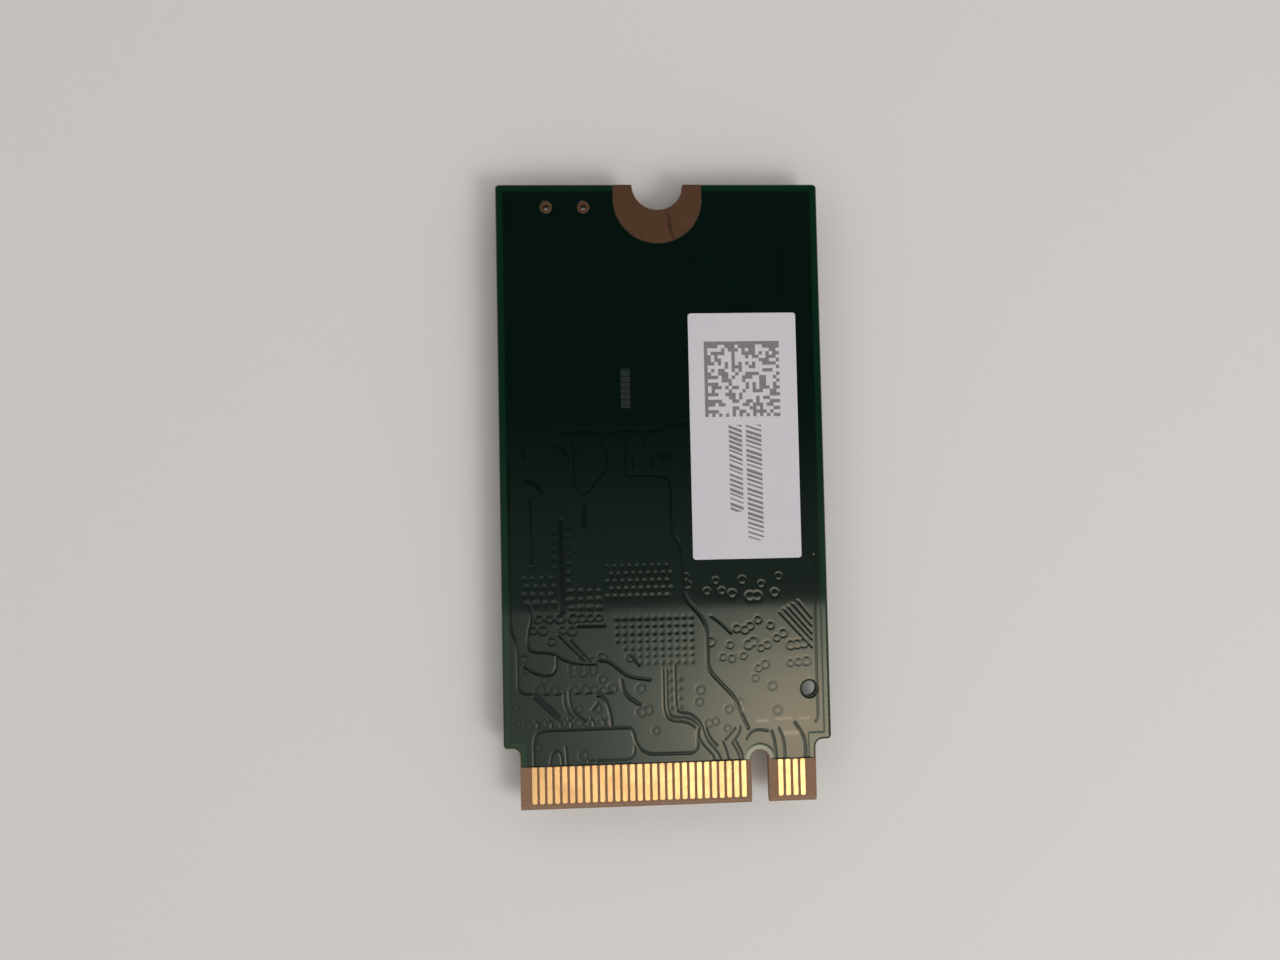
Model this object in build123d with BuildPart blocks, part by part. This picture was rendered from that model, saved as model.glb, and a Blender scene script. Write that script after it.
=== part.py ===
"""Solid-state storage card for a keyed edge connector, lying with its components down.

Frame: X across the card, Y from the connector end (-Y) to the screw end (+Y), Z up.
The origin is on the card's middle, at the level of the package tops it lies on.
Millimetres throughout.
"""

import os

from build123d import *

os.makedirs("parts", exist_ok=True)

# Edge connector
pin_count = 75
pin_pitch = 0.25
key_first_pin = 59
key_last_pin = 66
contact_width = 0.35
contact_length = 2.45
contact_setback = 0.40
contact_corner = 0.10
key_slot_width = 1.20
key_slot_depth = 3.45

# Card
card_length = 42.0
card_thickness = 0.80
foil_height = 0.04
tongue_length = 4.10
tongue_margin = 0.50
shoulder_step = 1.075
shoulder_radius = 0.50
corner_radius = 0.25
bevel_length = 0.35
bevel_depth = 0.20

# Screw seat and small holes
notch_radius = 1.75
seat_radius = 3.0
seat_centre_inset = 1.0
barrel_wall = 0.03
tooling_hole_diameter = 1.0
tooling_hole_side_gap = 1.40
tooling_hole_rise = 3.40
test_drill_diameter = 0.45
test_pad_diameter = 0.75
test_hole_sides = 12
test_hole_pitch = 2.54
test_hole_side_gap = 3.40
test_hole_end_gap = 1.55

# Solder mask and its relief over the copper planes
mask_pullback = 0.06
relief_depth = 0.022
plane_gap_width = 0.16
plane_margin = 0.50
via_diameter = 0.28
via_pitch = 0.55
via_columns = 10
via_rows = 6
via_field_shift = -0.80
via_field_rise = 6.95
small_round_sides = 6

# Label
label_width = 7.40
label_length = 16.75
label_thickness = 0.08
label_corner = 0.20
label_side_gap = 1.70
label_rise = 12.25

# Ball-grid packages
package_height = 1.10
substrate_thickness = 0.24
ball_height = 0.26
ball_diameter = 0.42
ball_edge_gap = 0.75
ball_rows = 2
mark_diameter = 0.70
mark_depth = 0.03
mark_inset = 1.10
flash_width = 13.0
flash_length = 11.5
flash_ball_pitch = 1.0
flash_room_share = 0.30
controller_size = 10.5
controller_ball_pitch = 0.80
controller_side_gap = 2.20
controller_rise = 3.40

# Power parts
regulator_size = 4.0
regulator_height = 0.75
regulator_leads_per_side = 6
regulator_lead_pitch = 0.50
load_switch_size = 2.0
load_switch_height = 0.60
load_switch_leads_per_side = 3
load_switch_lead_pitch = 0.65
load_switch_rise = 2.30
lead_width = 0.25
lead_foot = 0.40
lead_height = 0.20
leadless_standoff = 0.03
inductor_count = 3
inductor_width = 2.0
inductor_length = 2.5
inductor_height = 1.0
inductor_pitch = 2.60
inductor_terminal_length = 0.60
inductor_terminal_height = 0.12
inductor_corner = 0.25
inductor_gap = 1.20

# Crystal
crystal_width = 2.0
crystal_length = 1.6
crystal_base_height = 0.32
crystal_lid_height = 0.16
crystal_lid_margin = 0.12
crystal_side_gap = 0.40

# Chip parts: length, width and height over the terminals, and length of each terminal
bulk_chip = (1.6, 0.8, 0.8, 0.35)
decoupling_chip = (1.0, 0.5, 0.5, 0.25)
coupling_chip = (0.6, 0.3, 0.3, 0.15)
resistor_chip = (1.0, 0.5, 0.35, 0.22)
fuse_chip = (1.6, 0.8, 0.5, 0.35)
terminal_wall = 0.02
chip_gap = 0.40
bulk_pitch = 1.30
decoupling_pitch = 1.45
decoupling_per_row = 5
flash_decoupling_pitch = 2.0
flash_decoupling_per_side = 4
resistor_pitch = 1.30
resistors_per_row = 5
regulator_resistors = 3
fuse_rise = 1.60
fuse_shift = 1.20
coupling_rise = 0.90
coupled_pins = (5, 7, 17, 19, 29, 31, 41, 43)

# Places in plan, from the card's own sizes
tongue_width = (pin_count - 1) * pin_pitch + contact_width + 2 * tongue_margin
card_width = tongue_width + 2 * shoulder_step
tongue_end_y = -card_length / 2
screw_end_y = card_length / 2
shoulder_y = tongue_end_y + tongue_length
left_edge_x = -card_width / 2
right_edge_x = card_width / 2
contact_y = tongue_end_y + contact_setback + contact_length / 2
mask_end_y = contact_y + contact_length / 2
seat_low_y = screw_end_y - seat_centre_inset - seat_radius
tooling_hole = (right_edge_x - tooling_hole_side_gap, shoulder_y + tooling_hole_rise)
test_holes = [
    (left_edge_x + test_hole_side_gap + i * test_hole_pitch, screw_end_y - test_hole_end_gap)
    for i in range(2)
]

# Levels: the card lies on whatever stands tallest on its component side
front_z = max(package_height, inductor_height, regulator_height, bulk_chip[2])
laminate_front_z = front_z + foil_height
laminate_back_z = front_z + card_thickness - foil_height
back_z = front_z + card_thickness

# Package places: the controller keeps to the connector end, the flash shares what is left
controller_x = left_edge_x + controller_side_gap + controller_size / 2
controller_y = shoulder_y + controller_rise + controller_size / 2
controller_low_y = controller_y - controller_size / 2
controller_top_y = controller_y + controller_size / 2
flash_room = seat_low_y - controller_top_y - flash_length
flash_x = 0.0
flash_y = seat_low_y - flash_room * flash_room_share - flash_length / 2
flash_low_y = flash_y - flash_length / 2
middle_y = (controller_top_y + flash_low_y) / 2

# Power block: centred in the room between the controller and the card's side
power_x = (controller_x + controller_size / 2 + right_edge_x) / 2
regulator_y = controller_y
inductor_y = regulator_y + regulator_size / 2 + inductor_gap + inductor_length / 2
inductor_places = [
    (power_x + (i - (inductor_count - 1) / 2) * inductor_pitch, inductor_y)
    for i in range(inductor_count)
]
load_switch_x = power_x - inductor_pitch
load_switch_y = shoulder_y + load_switch_rise


def pin_x(pin):
    """Place of a contact across the card, counted from the first pin on the left."""
    return (pin - (pin_count + 1) / 2) * pin_pitch


def pins_from(first_pin):
    """Every second pin from the first one, without those the key slot takes."""
    pins = range(first_pin, pin_count + 1, 2)
    return [pin for pin in pins if not key_first_pin <= pin <= key_last_pin]


def save(piece, name):
    """Label a finished piece and write it under the name of its node."""
    piece.label = name
    export_step(piece, f"parts/{name}.step")


key_x = (pin_x(key_first_pin) + pin_x(key_last_pin)) / 2


# Outlines shared by the card, its solder mask and its plating
with BuildSketch() as card_outline:
    with Locations((0, shoulder_y)):
        Rectangle(card_width, screw_end_y - shoulder_y, align=(Align.CENTER, Align.MIN))
        Rectangle(tongue_width, tongue_length, align=(Align.CENTER, Align.MAX))
    shoulders = card_outline.vertices().group_by(Axis.Y)[1].sort_by(Axis.X)
    fillet(shoulders[1:3], shoulder_radius)
    outer_corners = card_outline.vertices().group_by(Axis.X)
    fillet(outer_corners[0] + outer_corners[-1], corner_radius)
    with Locations((0, screw_end_y)):
        Circle(notch_radius + barrel_wall, mode=Mode.SUBTRACT)
    with Locations((key_x, tongue_end_y)):
        SlotOverall(2 * key_slot_depth, key_slot_width, rotation=90, mode=Mode.SUBTRACT)
    with Locations(tooling_hole):
        Circle(tooling_hole_diameter / 2, mode=Mode.SUBTRACT)
    with Locations(*test_holes):
        RegularPolygon(test_drill_diameter / 2, test_hole_sides, mode=Mode.SUBTRACT)


def seat_outline(radius):
    """U-shaped land round the screw notch, cut off at the card's end."""
    with BuildSketch() as seat:
        with Locations((0, screw_end_y - seat_centre_inset)):
            Circle(radius)
            Rectangle(2 * radius, seat_centre_inset, align=(Align.CENTER, Align.MIN))
        with Locations((0, screw_end_y)):
            Rectangle(2 * radius, radius, align=(Align.CENTER, Align.MIN), mode=Mode.SUBTRACT)
    return seat.sketch


def mask_outline(inset):
    """Masked area of a broad side, set in from the card's edges and from what stays bare."""
    with BuildSketch() as masked:
        add(card_outline.sketch)
        offset(amount=-inset)
        with Locations((0, mask_end_y)):
            Rectangle(card_width, mask_end_y - tongue_end_y,
                      align=(Align.CENTER, Align.MAX), mode=Mode.SUBTRACT)
        add(seat_outline(seat_radius + inset), mode=Mode.SUBTRACT)
        with Locations(*test_holes):
            RegularPolygon(test_pad_diameter / 2 + inset, test_hole_sides, mode=Mode.SUBTRACT)
    return masked.sketch


# Laminate with the keyed tongue, bevelled where it enters the connector
with BuildPart() as circuit_board:
    with BuildSketch(Plane.XY.offset(laminate_front_z)):
        add(card_outline.sketch)
    extrude(amount=laminate_back_z - laminate_front_z)
    for side in (0, -1):
        broad_face = circuit_board.faces().filter_by(Axis.Z).sort_by(Axis.Z)[side]
        end_edges = broad_face.edges().filter_by(Axis.X).group_by(Axis.Y)[0]
        chamfer(end_edges, length=bevel_length, length2=bevel_depth, reference=broad_face)
save(circuit_board.part, "circuit_board")


# Gaps that part the copper planes, as routes across the card and up from the shoulder.
# Each runs from one edge of the masked area, or from another gap, to the next.
seat_rise = seat_low_y - shoulder_y
slot_rise = key_slot_depth - tongue_length
mask_rise = mask_end_y - shoulder_y
plane_gaps = [
    [(0.40, seat_rise), (0.40, 14.0), (1.05, 13.3), (1.20, 9.8), (2.60, 8.2), (2.75, 4.9),
     (4.55, 3.0), (4.85, 1.8), (5.35, 0.7), (key_x, slot_rise)],
    [(left_edge_x, 7.0), (-10.0, 7.0), (-10.0, 3.6), (-9.05, 3.5), (-7.45, 2.0), (-7.45, 1.1)],
    [(-8.95, mask_rise), (-8.95, 0.8), (-8.60, 1.1), (-2.35, 1.2), (-2.35, -0.2), (-1.70, -0.7),
     (1.95, -0.7), (1.95, mask_rise)],
]

# The mask is a thin film, raised where it covers a copper plane and dimpled over the thermal vias
with BuildPart() as solder_mask_back:
    with BuildSketch(Plane.XY.offset(laminate_back_z)):
        add(mask_outline(mask_pullback))
    extrude(amount=foil_height - relief_depth)
    with BuildSketch(Plane.XY.offset(back_z - relief_depth)):
        add(mask_outline(plane_margin))
        for route in plane_gaps:
            corners = [Vector(x, shoulder_y + rise) for x, rise in route]
            for start, end in zip(corners, corners[1:]):
                SlotCenterPoint((start + end) / 2, end, plane_gap_width, mode=Mode.SUBTRACT)
        with Locations((via_field_shift, shoulder_y + via_field_rise)):
            with GridLocations(via_pitch, via_pitch, via_columns, via_rows):
                RegularPolygon(via_diameter / 2, small_round_sides, mode=Mode.SUBTRACT)
    extrude(amount=relief_depth)
save(solder_mask_back.part, "solder_mask_back")

with BuildPart() as solder_mask_front:
    with BuildSketch(Plane.XY.offset(front_z)):
        add(mask_outline(mask_pullback))
    extrude(amount=foil_height)
save(solder_mask_front.part, "solder_mask_front")


def edge_contacts(first_pin, level):
    """Gold contacts of one side, with clipped corners at the end that enters first."""
    with BuildPart() as contacts:
        with BuildSketch(Plane.XY.offset(level)) as lands:
            with Locations(*[(pin_x(pin), contact_y) for pin in pins_from(first_pin)]):
                Rectangle(contact_width, contact_length)
            chamfer(lands.vertices().group_by(Axis.Y)[0], length=contact_corner)
        extrude(amount=foil_height)
    return contacts.part


save(edge_contacts(2, laminate_back_z), "back_edge_contacts")
save(edge_contacts(1, front_z), "front_edge_contacts")


# Screw seat: a land on each side, joined by the plated wall of the notch
with BuildPart() as screw_seat_plating:
    for level in (front_z, laminate_back_z):
        with BuildSketch(Plane.XY.offset(level)):
            add(seat_outline(seat_radius))
            with Locations((0, screw_end_y)):
                Circle(notch_radius, mode=Mode.SUBTRACT)
        extrude(amount=foil_height)
    with BuildSketch(Plane.XY.offset(front_z)):
        with Locations((0, screw_end_y)):
            Circle(notch_radius + barrel_wall)
            Circle(notch_radius, mode=Mode.SUBTRACT)
            Rectangle(4 * notch_radius, 2 * notch_radius,
                      align=(Align.CENTER, Align.MIN), mode=Mode.SUBTRACT)
    extrude(amount=card_thickness)
save(screw_seat_plating.part, "screw_seat_plating")

with BuildPart() as test_hole_eyelets:
    for level in (front_z, laminate_back_z):
        with BuildSketch(Plane.XY.offset(level)):
            with Locations(*test_holes):
                RegularPolygon(test_pad_diameter / 2, test_hole_sides)
        extrude(amount=foil_height)
    with BuildSketch(Plane.XY.offset(front_z)):
        with Locations(*test_holes):
            RegularPolygon(test_drill_diameter / 2, test_hole_sides)
    extrude(amount=card_thickness)
    with BuildSketch(Plane.XY.offset(front_z)):
        with Locations(*test_holes):
            RegularPolygon(test_drill_diameter / 2 - barrel_wall, test_hole_sides)
    extrude(amount=card_thickness, mode=Mode.SUBTRACT)
save(test_hole_eyelets.part, "test_hole_eyelets")


with BuildPart() as serial_label:
    with BuildSketch(Plane.XY.offset(back_z)) as paper:
        with Locations((right_edge_x - label_side_gap, shoulder_y + label_rise)):
            Rectangle(label_width, label_length, align=(Align.MAX, Align.MIN))
        fillet(paper.vertices(), label_corner)
    extrude(amount=label_thickness)
save(serial_label.part, "serial_label")


def ball_places(centre, width, length, pitch):
    """Places of a ball grid's outer rows, as many as the package has room for."""
    columns = int((width - 2 * ball_edge_gap) / pitch) + 1
    rows = int((length - 2 * ball_edge_gap) / pitch) + 1
    return [
        (centre[0] + (i - (columns - 1) / 2) * pitch, centre[1] + (j - (rows - 1) / 2) * pitch)
        for i in range(columns)
        for j in range(rows)
        if min(i, columns - 1 - i, j, rows - 1 - j) < ball_rows
    ]


def ball_grid_package(name, centre, width, length, pitch):
    """Moulded cap, substrate and solder balls of one package, hung from the card's front."""
    substrate_top_z = front_z - ball_height
    cap_top_z = substrate_top_z - substrate_thickness
    cap_low_z = front_z - package_height
    with BuildPart() as balls:
        with BuildSketch(Plane.XY.offset(substrate_top_z)):
            with Locations(*ball_places(centre, width, length, pitch)):
                RegularPolygon(ball_diameter / 2, small_round_sides)
        extrude(amount=ball_height)
    save(balls.part, f"{name}_solder_balls")
    with BuildPart() as substrate:
        with BuildSketch(Plane.XY.offset(cap_top_z)):
            with Locations(centre):
                Rectangle(width, length)
        extrude(amount=substrate_thickness)
    save(substrate.part, f"{name}_substrate")
    with BuildPart() as cap:
        with BuildSketch(Plane.XY.offset(cap_low_z)):
            with Locations(centre):
                Rectangle(width, length)
        extrude(amount=cap_top_z - cap_low_z)
        with BuildSketch(Plane.XY.offset(cap_low_z)):
            with Locations((centre[0] - width / 2 + mark_inset, centre[1] + length / 2 - mark_inset)):
                Circle(mark_diameter / 2)
        extrude(amount=mark_depth, mode=Mode.SUBTRACT)
    save(cap.part, f"{name}_mould_cap")


ball_grid_package("flash", (flash_x, flash_y), flash_width, flash_length, flash_ball_pitch)
ball_grid_package("controller", (controller_x, controller_y), controller_size, controller_size,
                  controller_ball_pitch)


def lead_feet(centre, size, turns, leads_per_side, lead_pitch):
    """Rectangular feet along the named sides of a square leadless package."""
    with BuildSketch() as feet:
        for turn in turns:
            with Locations(Location((*centre, 0), (0, 0, turn))):
                with Locations((0, (lead_foot - size) / 2)):
                    with GridLocations(lead_pitch, 0, leads_per_side, 1):
                        Rectangle(lead_width, lead_foot)
    return feet.sketch


def leadless_package(name, centre, size, height, turns, leads_per_side, lead_pitch):
    """Square moulded body with leads let into its edge, flush with its sides."""
    feet = lead_feet(centre, size, turns, leads_per_side, lead_pitch)
    with BuildPart() as body:
        with BuildSketch(Plane.XY.offset(front_z - height)):
            with Locations(centre):
                Rectangle(size, size)
        extrude(amount=height - leadless_standoff)
        with BuildSketch(Plane.XY.offset(front_z - lead_height)):
            add(feet)
        extrude(amount=lead_height, mode=Mode.SUBTRACT)
    save(body.part, f"{name}_body")
    with BuildPart() as leads:
        with BuildSketch(Plane.XY.offset(front_z - lead_height)):
            add(feet)
        extrude(amount=lead_height)
    save(leads.part, f"{name}_leads")


leadless_package("regulator", (power_x, regulator_y), regulator_size, regulator_height,
                 (0, 90, 180, 270), regulator_leads_per_side, regulator_lead_pitch)
leadless_package("load_switch", (load_switch_x, load_switch_y), load_switch_size,
                 load_switch_height, (90, 270), load_switch_leads_per_side, load_switch_lead_pitch)


# Moulded power inductors, each on two flat end terminals
for number, place in enumerate(inductor_places, start=1):
    with BuildPart() as terminals:
        with BuildSketch(Plane.XY.offset(front_z - inductor_terminal_height)):
            with Locations(place):
                with GridLocations(0, inductor_length - inductor_terminal_length, 1, 2):
                    Rectangle(inductor_width, inductor_terminal_length)
        extrude(amount=inductor_terminal_height)
    save(terminals.part, f"inductor_{number}_terminals")
    with BuildPart() as core:
        with BuildSketch(Plane.XY.offset(front_z - inductor_height)) as core_outline:
            with Locations(place):
                Rectangle(inductor_width, inductor_length)
            chamfer(core_outline.vertices(), length=inductor_corner)
        extrude(amount=inductor_height - inductor_terminal_height)
    save(core.part, f"inductor_{number}_core")


crystal_place = (controller_x - controller_size / 2 + crystal_side_gap + crystal_width / 2, middle_y)
with BuildPart() as crystal_base:
    with BuildSketch(Plane.XY.offset(front_z - crystal_base_height)):
        with Locations(crystal_place):
            Rectangle(crystal_width, crystal_length)
    extrude(amount=crystal_base_height)
save(crystal_base.part, "crystal_base")

with BuildPart() as crystal_lid:
    with BuildSketch(Plane.XY.offset(front_z - crystal_base_height - crystal_lid_height)):
        with Locations(crystal_place):
            RectangleRounded(crystal_width - 2 * crystal_lid_margin,
                             crystal_length - 2 * crystal_lid_margin, crystal_lid_margin)
    extrude(amount=crystal_lid_height)
save(crystal_lid.part, "crystal_lid")


def chip_group(name, chip, places):
    """Like chip parts, as one node of bodies and one of end terminals."""
    length, width, height, terminal_length = chip
    spots = [Location((x, y, front_z), (0, 0, turn)) for x, y, turn in places]
    hang = (Align.CENTER, Align.CENTER, Align.MAX)
    with BuildPart() as bodies:
        with Locations(*spots):
            with Locations((0, 0, -terminal_wall)):
                Box(length - 2 * terminal_length, width - 2 * terminal_wall,
                    height - 2 * terminal_wall, align=hang)
    save(bodies.part, f"{name}_bodies")
    with BuildPart() as terminals:
        with Locations(*spots):
            with GridLocations(length - terminal_length, 0, 2, 1):
                Box(terminal_length, width, height, align=hang)
    save(terminals.part, f"{name}_terminals")


def centred(index, count, pitch):
    """Offset of one of several evenly spaced things from the middle of their row."""
    return (index - (count - 1) / 2) * pitch


output_bulk_y = inductor_y + inductor_length / 2 + chip_gap + bulk_chip[0] / 2
input_bulk_y = regulator_y - regulator_size / 2 - chip_gap - bulk_chip[0] / 2
chip_group("bulk_capacitor", bulk_chip,
           [(x, output_bulk_y, 90) for x, _ in inductor_places]
           + [(power_x + i * bulk_pitch, input_bulk_y, 90) for i in range(inductor_count)])

controller_rows_y = (controller_low_y - chip_gap - decoupling_chip[1] / 2,
                     controller_top_y + chip_gap + decoupling_chip[1] / 2)
flash_columns_x = [flash_x + side * (flash_width / 2 + chip_gap + decoupling_chip[1] / 2)
                   for side in (-1, 1)]
chip_group("decoupling_capacitor", decoupling_chip,
           [(controller_x + centred(i, decoupling_per_row, decoupling_pitch) + decoupling_pitch / 2, y, 0)
            for y in controller_rows_y for i in range(decoupling_per_row)]
           + [(x, flash_y + centred(i, flash_decoupling_per_side, flash_decoupling_pitch), 90)
              for x in flash_columns_x for i in range(flash_decoupling_per_side)])

resistor_row_y = flash_low_y - chip_gap - resistor_chip[1] / 2
resistor_column_x = power_x + regulator_size / 2 + chip_gap + resistor_chip[1] / 2
chip_group("resistor", resistor_chip,
           [(flash_x + centred(i, resistors_per_row, resistor_pitch), resistor_row_y, 0)
            for i in range(resistors_per_row)]
           + [(resistor_column_x, regulator_y + centred(i, regulator_resistors, resistor_pitch), 90)
              for i in range(regulator_resistors)])

chip_group("coupling_capacitor", coupling_chip,
           [(pin_x(pin), shoulder_y + coupling_rise, 90) for pin in coupled_pins])
chip_group("input_fuse", fuse_chip, [(power_x + fuse_shift, shoulder_y + fuse_rise, 0)])
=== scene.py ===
"""Looks of a bare solid-state storage card that lies on its components, label side up.

Every shape is worked out in millimetres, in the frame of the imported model: X across the card,
Y from the connector end to the screw end, Z up out of the labelled side.
"""

import logging
import math
from dataclasses import dataclass
from enum import Enum
from functools import cached_property
from typing import Any, Callable, Sequence

import bmesh
import bpy
import numpy as np
from mathutils import Matrix, Vector
from mathutils.geometry import delaunay_2d_cdt


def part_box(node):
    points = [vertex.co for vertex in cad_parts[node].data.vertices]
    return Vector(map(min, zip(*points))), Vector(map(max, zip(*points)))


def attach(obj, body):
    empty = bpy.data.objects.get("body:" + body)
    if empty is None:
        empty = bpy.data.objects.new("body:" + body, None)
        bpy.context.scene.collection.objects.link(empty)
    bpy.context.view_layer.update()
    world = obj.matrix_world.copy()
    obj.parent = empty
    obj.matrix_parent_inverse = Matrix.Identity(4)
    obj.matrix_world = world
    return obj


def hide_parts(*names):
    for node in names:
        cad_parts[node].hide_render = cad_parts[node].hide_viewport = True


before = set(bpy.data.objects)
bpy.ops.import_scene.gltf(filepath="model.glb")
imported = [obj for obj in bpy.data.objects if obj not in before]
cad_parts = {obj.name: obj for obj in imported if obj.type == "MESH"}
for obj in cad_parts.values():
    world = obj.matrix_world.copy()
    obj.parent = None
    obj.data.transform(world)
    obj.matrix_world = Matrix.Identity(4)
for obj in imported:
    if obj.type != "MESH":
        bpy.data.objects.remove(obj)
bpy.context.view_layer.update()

MM = 0.001
ROOT = "root"
MERGE_REACH = 1e-4  # corners nearer than this are one, in millimetres
CORNER_DIGITS = 4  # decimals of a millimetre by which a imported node's corners are told apart
FULL_ROUND = 0.999  # share of its half width that a round end's corners take up
RIM_FLAT = 1.3  # inset of the ring on the flat beside a rounded rim, in rim radii
FENCED_CELLS = 2  # kind of triangulation that keeps the outlines as edges
FENCE_REACH = 1e-6  # outline points nearer than this are one, in millimetres
BEND_REACHES = (0.34, 0.13)  # lengths cut off a route's corners, the first and second time
BEND_SHARE = 0.3  # most of a segment that one cut takes

log = logging.getLogger("storage_card")

Colour = tuple[float, float, float]
Triple = tuple[float, float, float]
Place = tuple[float, float]
Span = tuple[float, float]
Area = tuple[float, float, float, float]  # left, low, right and high side
Ring = tuple[float, float, float]  # inset, share of the height, and shift
Shape = tuple[np.ndarray, list[np.ndarray]]  # corners as rows, and arrays of faces
Field = Callable[[np.ndarray, np.ndarray], np.ndarray]


class Side(Enum):
    """Broad side of the card: the value is the sign of its outward direction along Z."""

    BACK = 1
    FRONT = -1


class Cut(Enum):
    """How the upright corners of a block are cut: the value is the number of facets of each."""

    CHAMFERED = 1
    ROUND = 4


def node_box(node: str) -> np.ndarray:
    """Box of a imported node.

    Args:
        node: name of the node.

    Returns:
        Lowest and highest corner in millimetres, as rows of a 2 by 3 array.
    """
    return np.array(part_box(node)) / MM


def solid_boxes(node: str) -> np.ndarray:
    """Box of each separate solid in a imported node.

    Triangles that share a corner get the lowest label among them, again and again until
    nothing changes, so that each label that is left stands for one solid.

    Args:
        node: name of the node.

    Returns:
        Array of solids by corner (lowest, highest) by axis, in millimetres.
    """
    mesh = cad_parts[node].data
    corners = np.empty(3 * len(mesh.vertices))
    mesh.vertices.foreach_get("co", corners)
    corners = np.round(corners.reshape(-1, 3) / MM, CORNER_DIGITS)
    points, place = np.unique(corners, axis=0, return_inverse=True)
    loops = np.empty(len(mesh.loops), int)
    mesh.loops.foreach_get("vertex_index", loops)
    triangles = place.ravel()[loops].reshape(-1, 3)
    label = np.arange(len(points))
    changed = True
    while changed:
        lower = label.copy()
        np.minimum.at(lower, triangles, label[triangles].min(axis=1, keepdims=True))
        changed = bool((lower != label).any())
        label = lower
    kinds, which = np.unique(label, return_inverse=True)
    boxes = np.empty((len(kinds), 2, 3))
    boxes[:, 0] = np.inf
    boxes[:, 1] = -np.inf
    np.minimum.at(boxes[:, 0], which, points)
    np.maximum.at(boxes[:, 1], which, points)
    return boxes


def smooth_step(value: np.ndarray, start: float, end: float) -> np.ndarray:
    """Ramp from 0 at start to 1 at end, level at both: 3t squared less 2t cubed."""
    t = np.clip((value - start) / (end - start), 0.0, 1.0)
    return t * t * (3.0 - 2.0 * t)


def math_method(operation: str, swapped: bool = False) -> Callable[..., "Sock"]:
    """Method of a socket that adds one Math node to its tree.

    Args:
        operation: the node's operation.
        swapped: whether the socket is the second value, as in a reflected operator.

    Returns:
        The method, for the socket and, where the operation takes two, another value.
    """

    def method(sock: "Sock", other: Any = 0.0) -> "Sock":
        """Result of the operation on this output and a value or output."""
        first, second = (other, sock) if swapped else (sock, other)
        return sock.shade.node("ShaderNodeMath", {0: first, 1: second}, operation=operation)

    return method


class Sock:
    """Output of a shader node, with arithmetic that adds Math nodes to its tree."""

    def __init__(self, shade: "Shade", link: bpy.types.NodeSocket | None) -> None:
        """Keep the tree's builder and the node's output, if it has one."""
        self.shade = shade
        self.link = link

    # one Math node each; the reflected operators are for a number on the left
    __add__, __radd__ = math_method("ADD"), math_method("ADD", True)
    __sub__, __rsub__ = math_method("SUBTRACT"), math_method("SUBTRACT", True)
    __mul__, __rmul__ = math_method("MULTIPLY"), math_method("MULTIPLY", True)
    __truediv__, __rtruediv__ = math_method("DIVIDE"), math_method("DIVIDE", True)
    __mod__, __rmod__ = math_method("FLOORED_MODULO"), math_method("FLOORED_MODULO", True)
    __gt__, __lt__ = math_method("GREATER_THAN"), math_method("LESS_THAN")
    most, floor, size = math_method("MAXIMUM"), math_method("FLOOR"), math_method("ABSOLUTE")
    root, exponent, sine = math_method("SQRT"), math_method("EXPONENT"), math_method("SINE")


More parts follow.
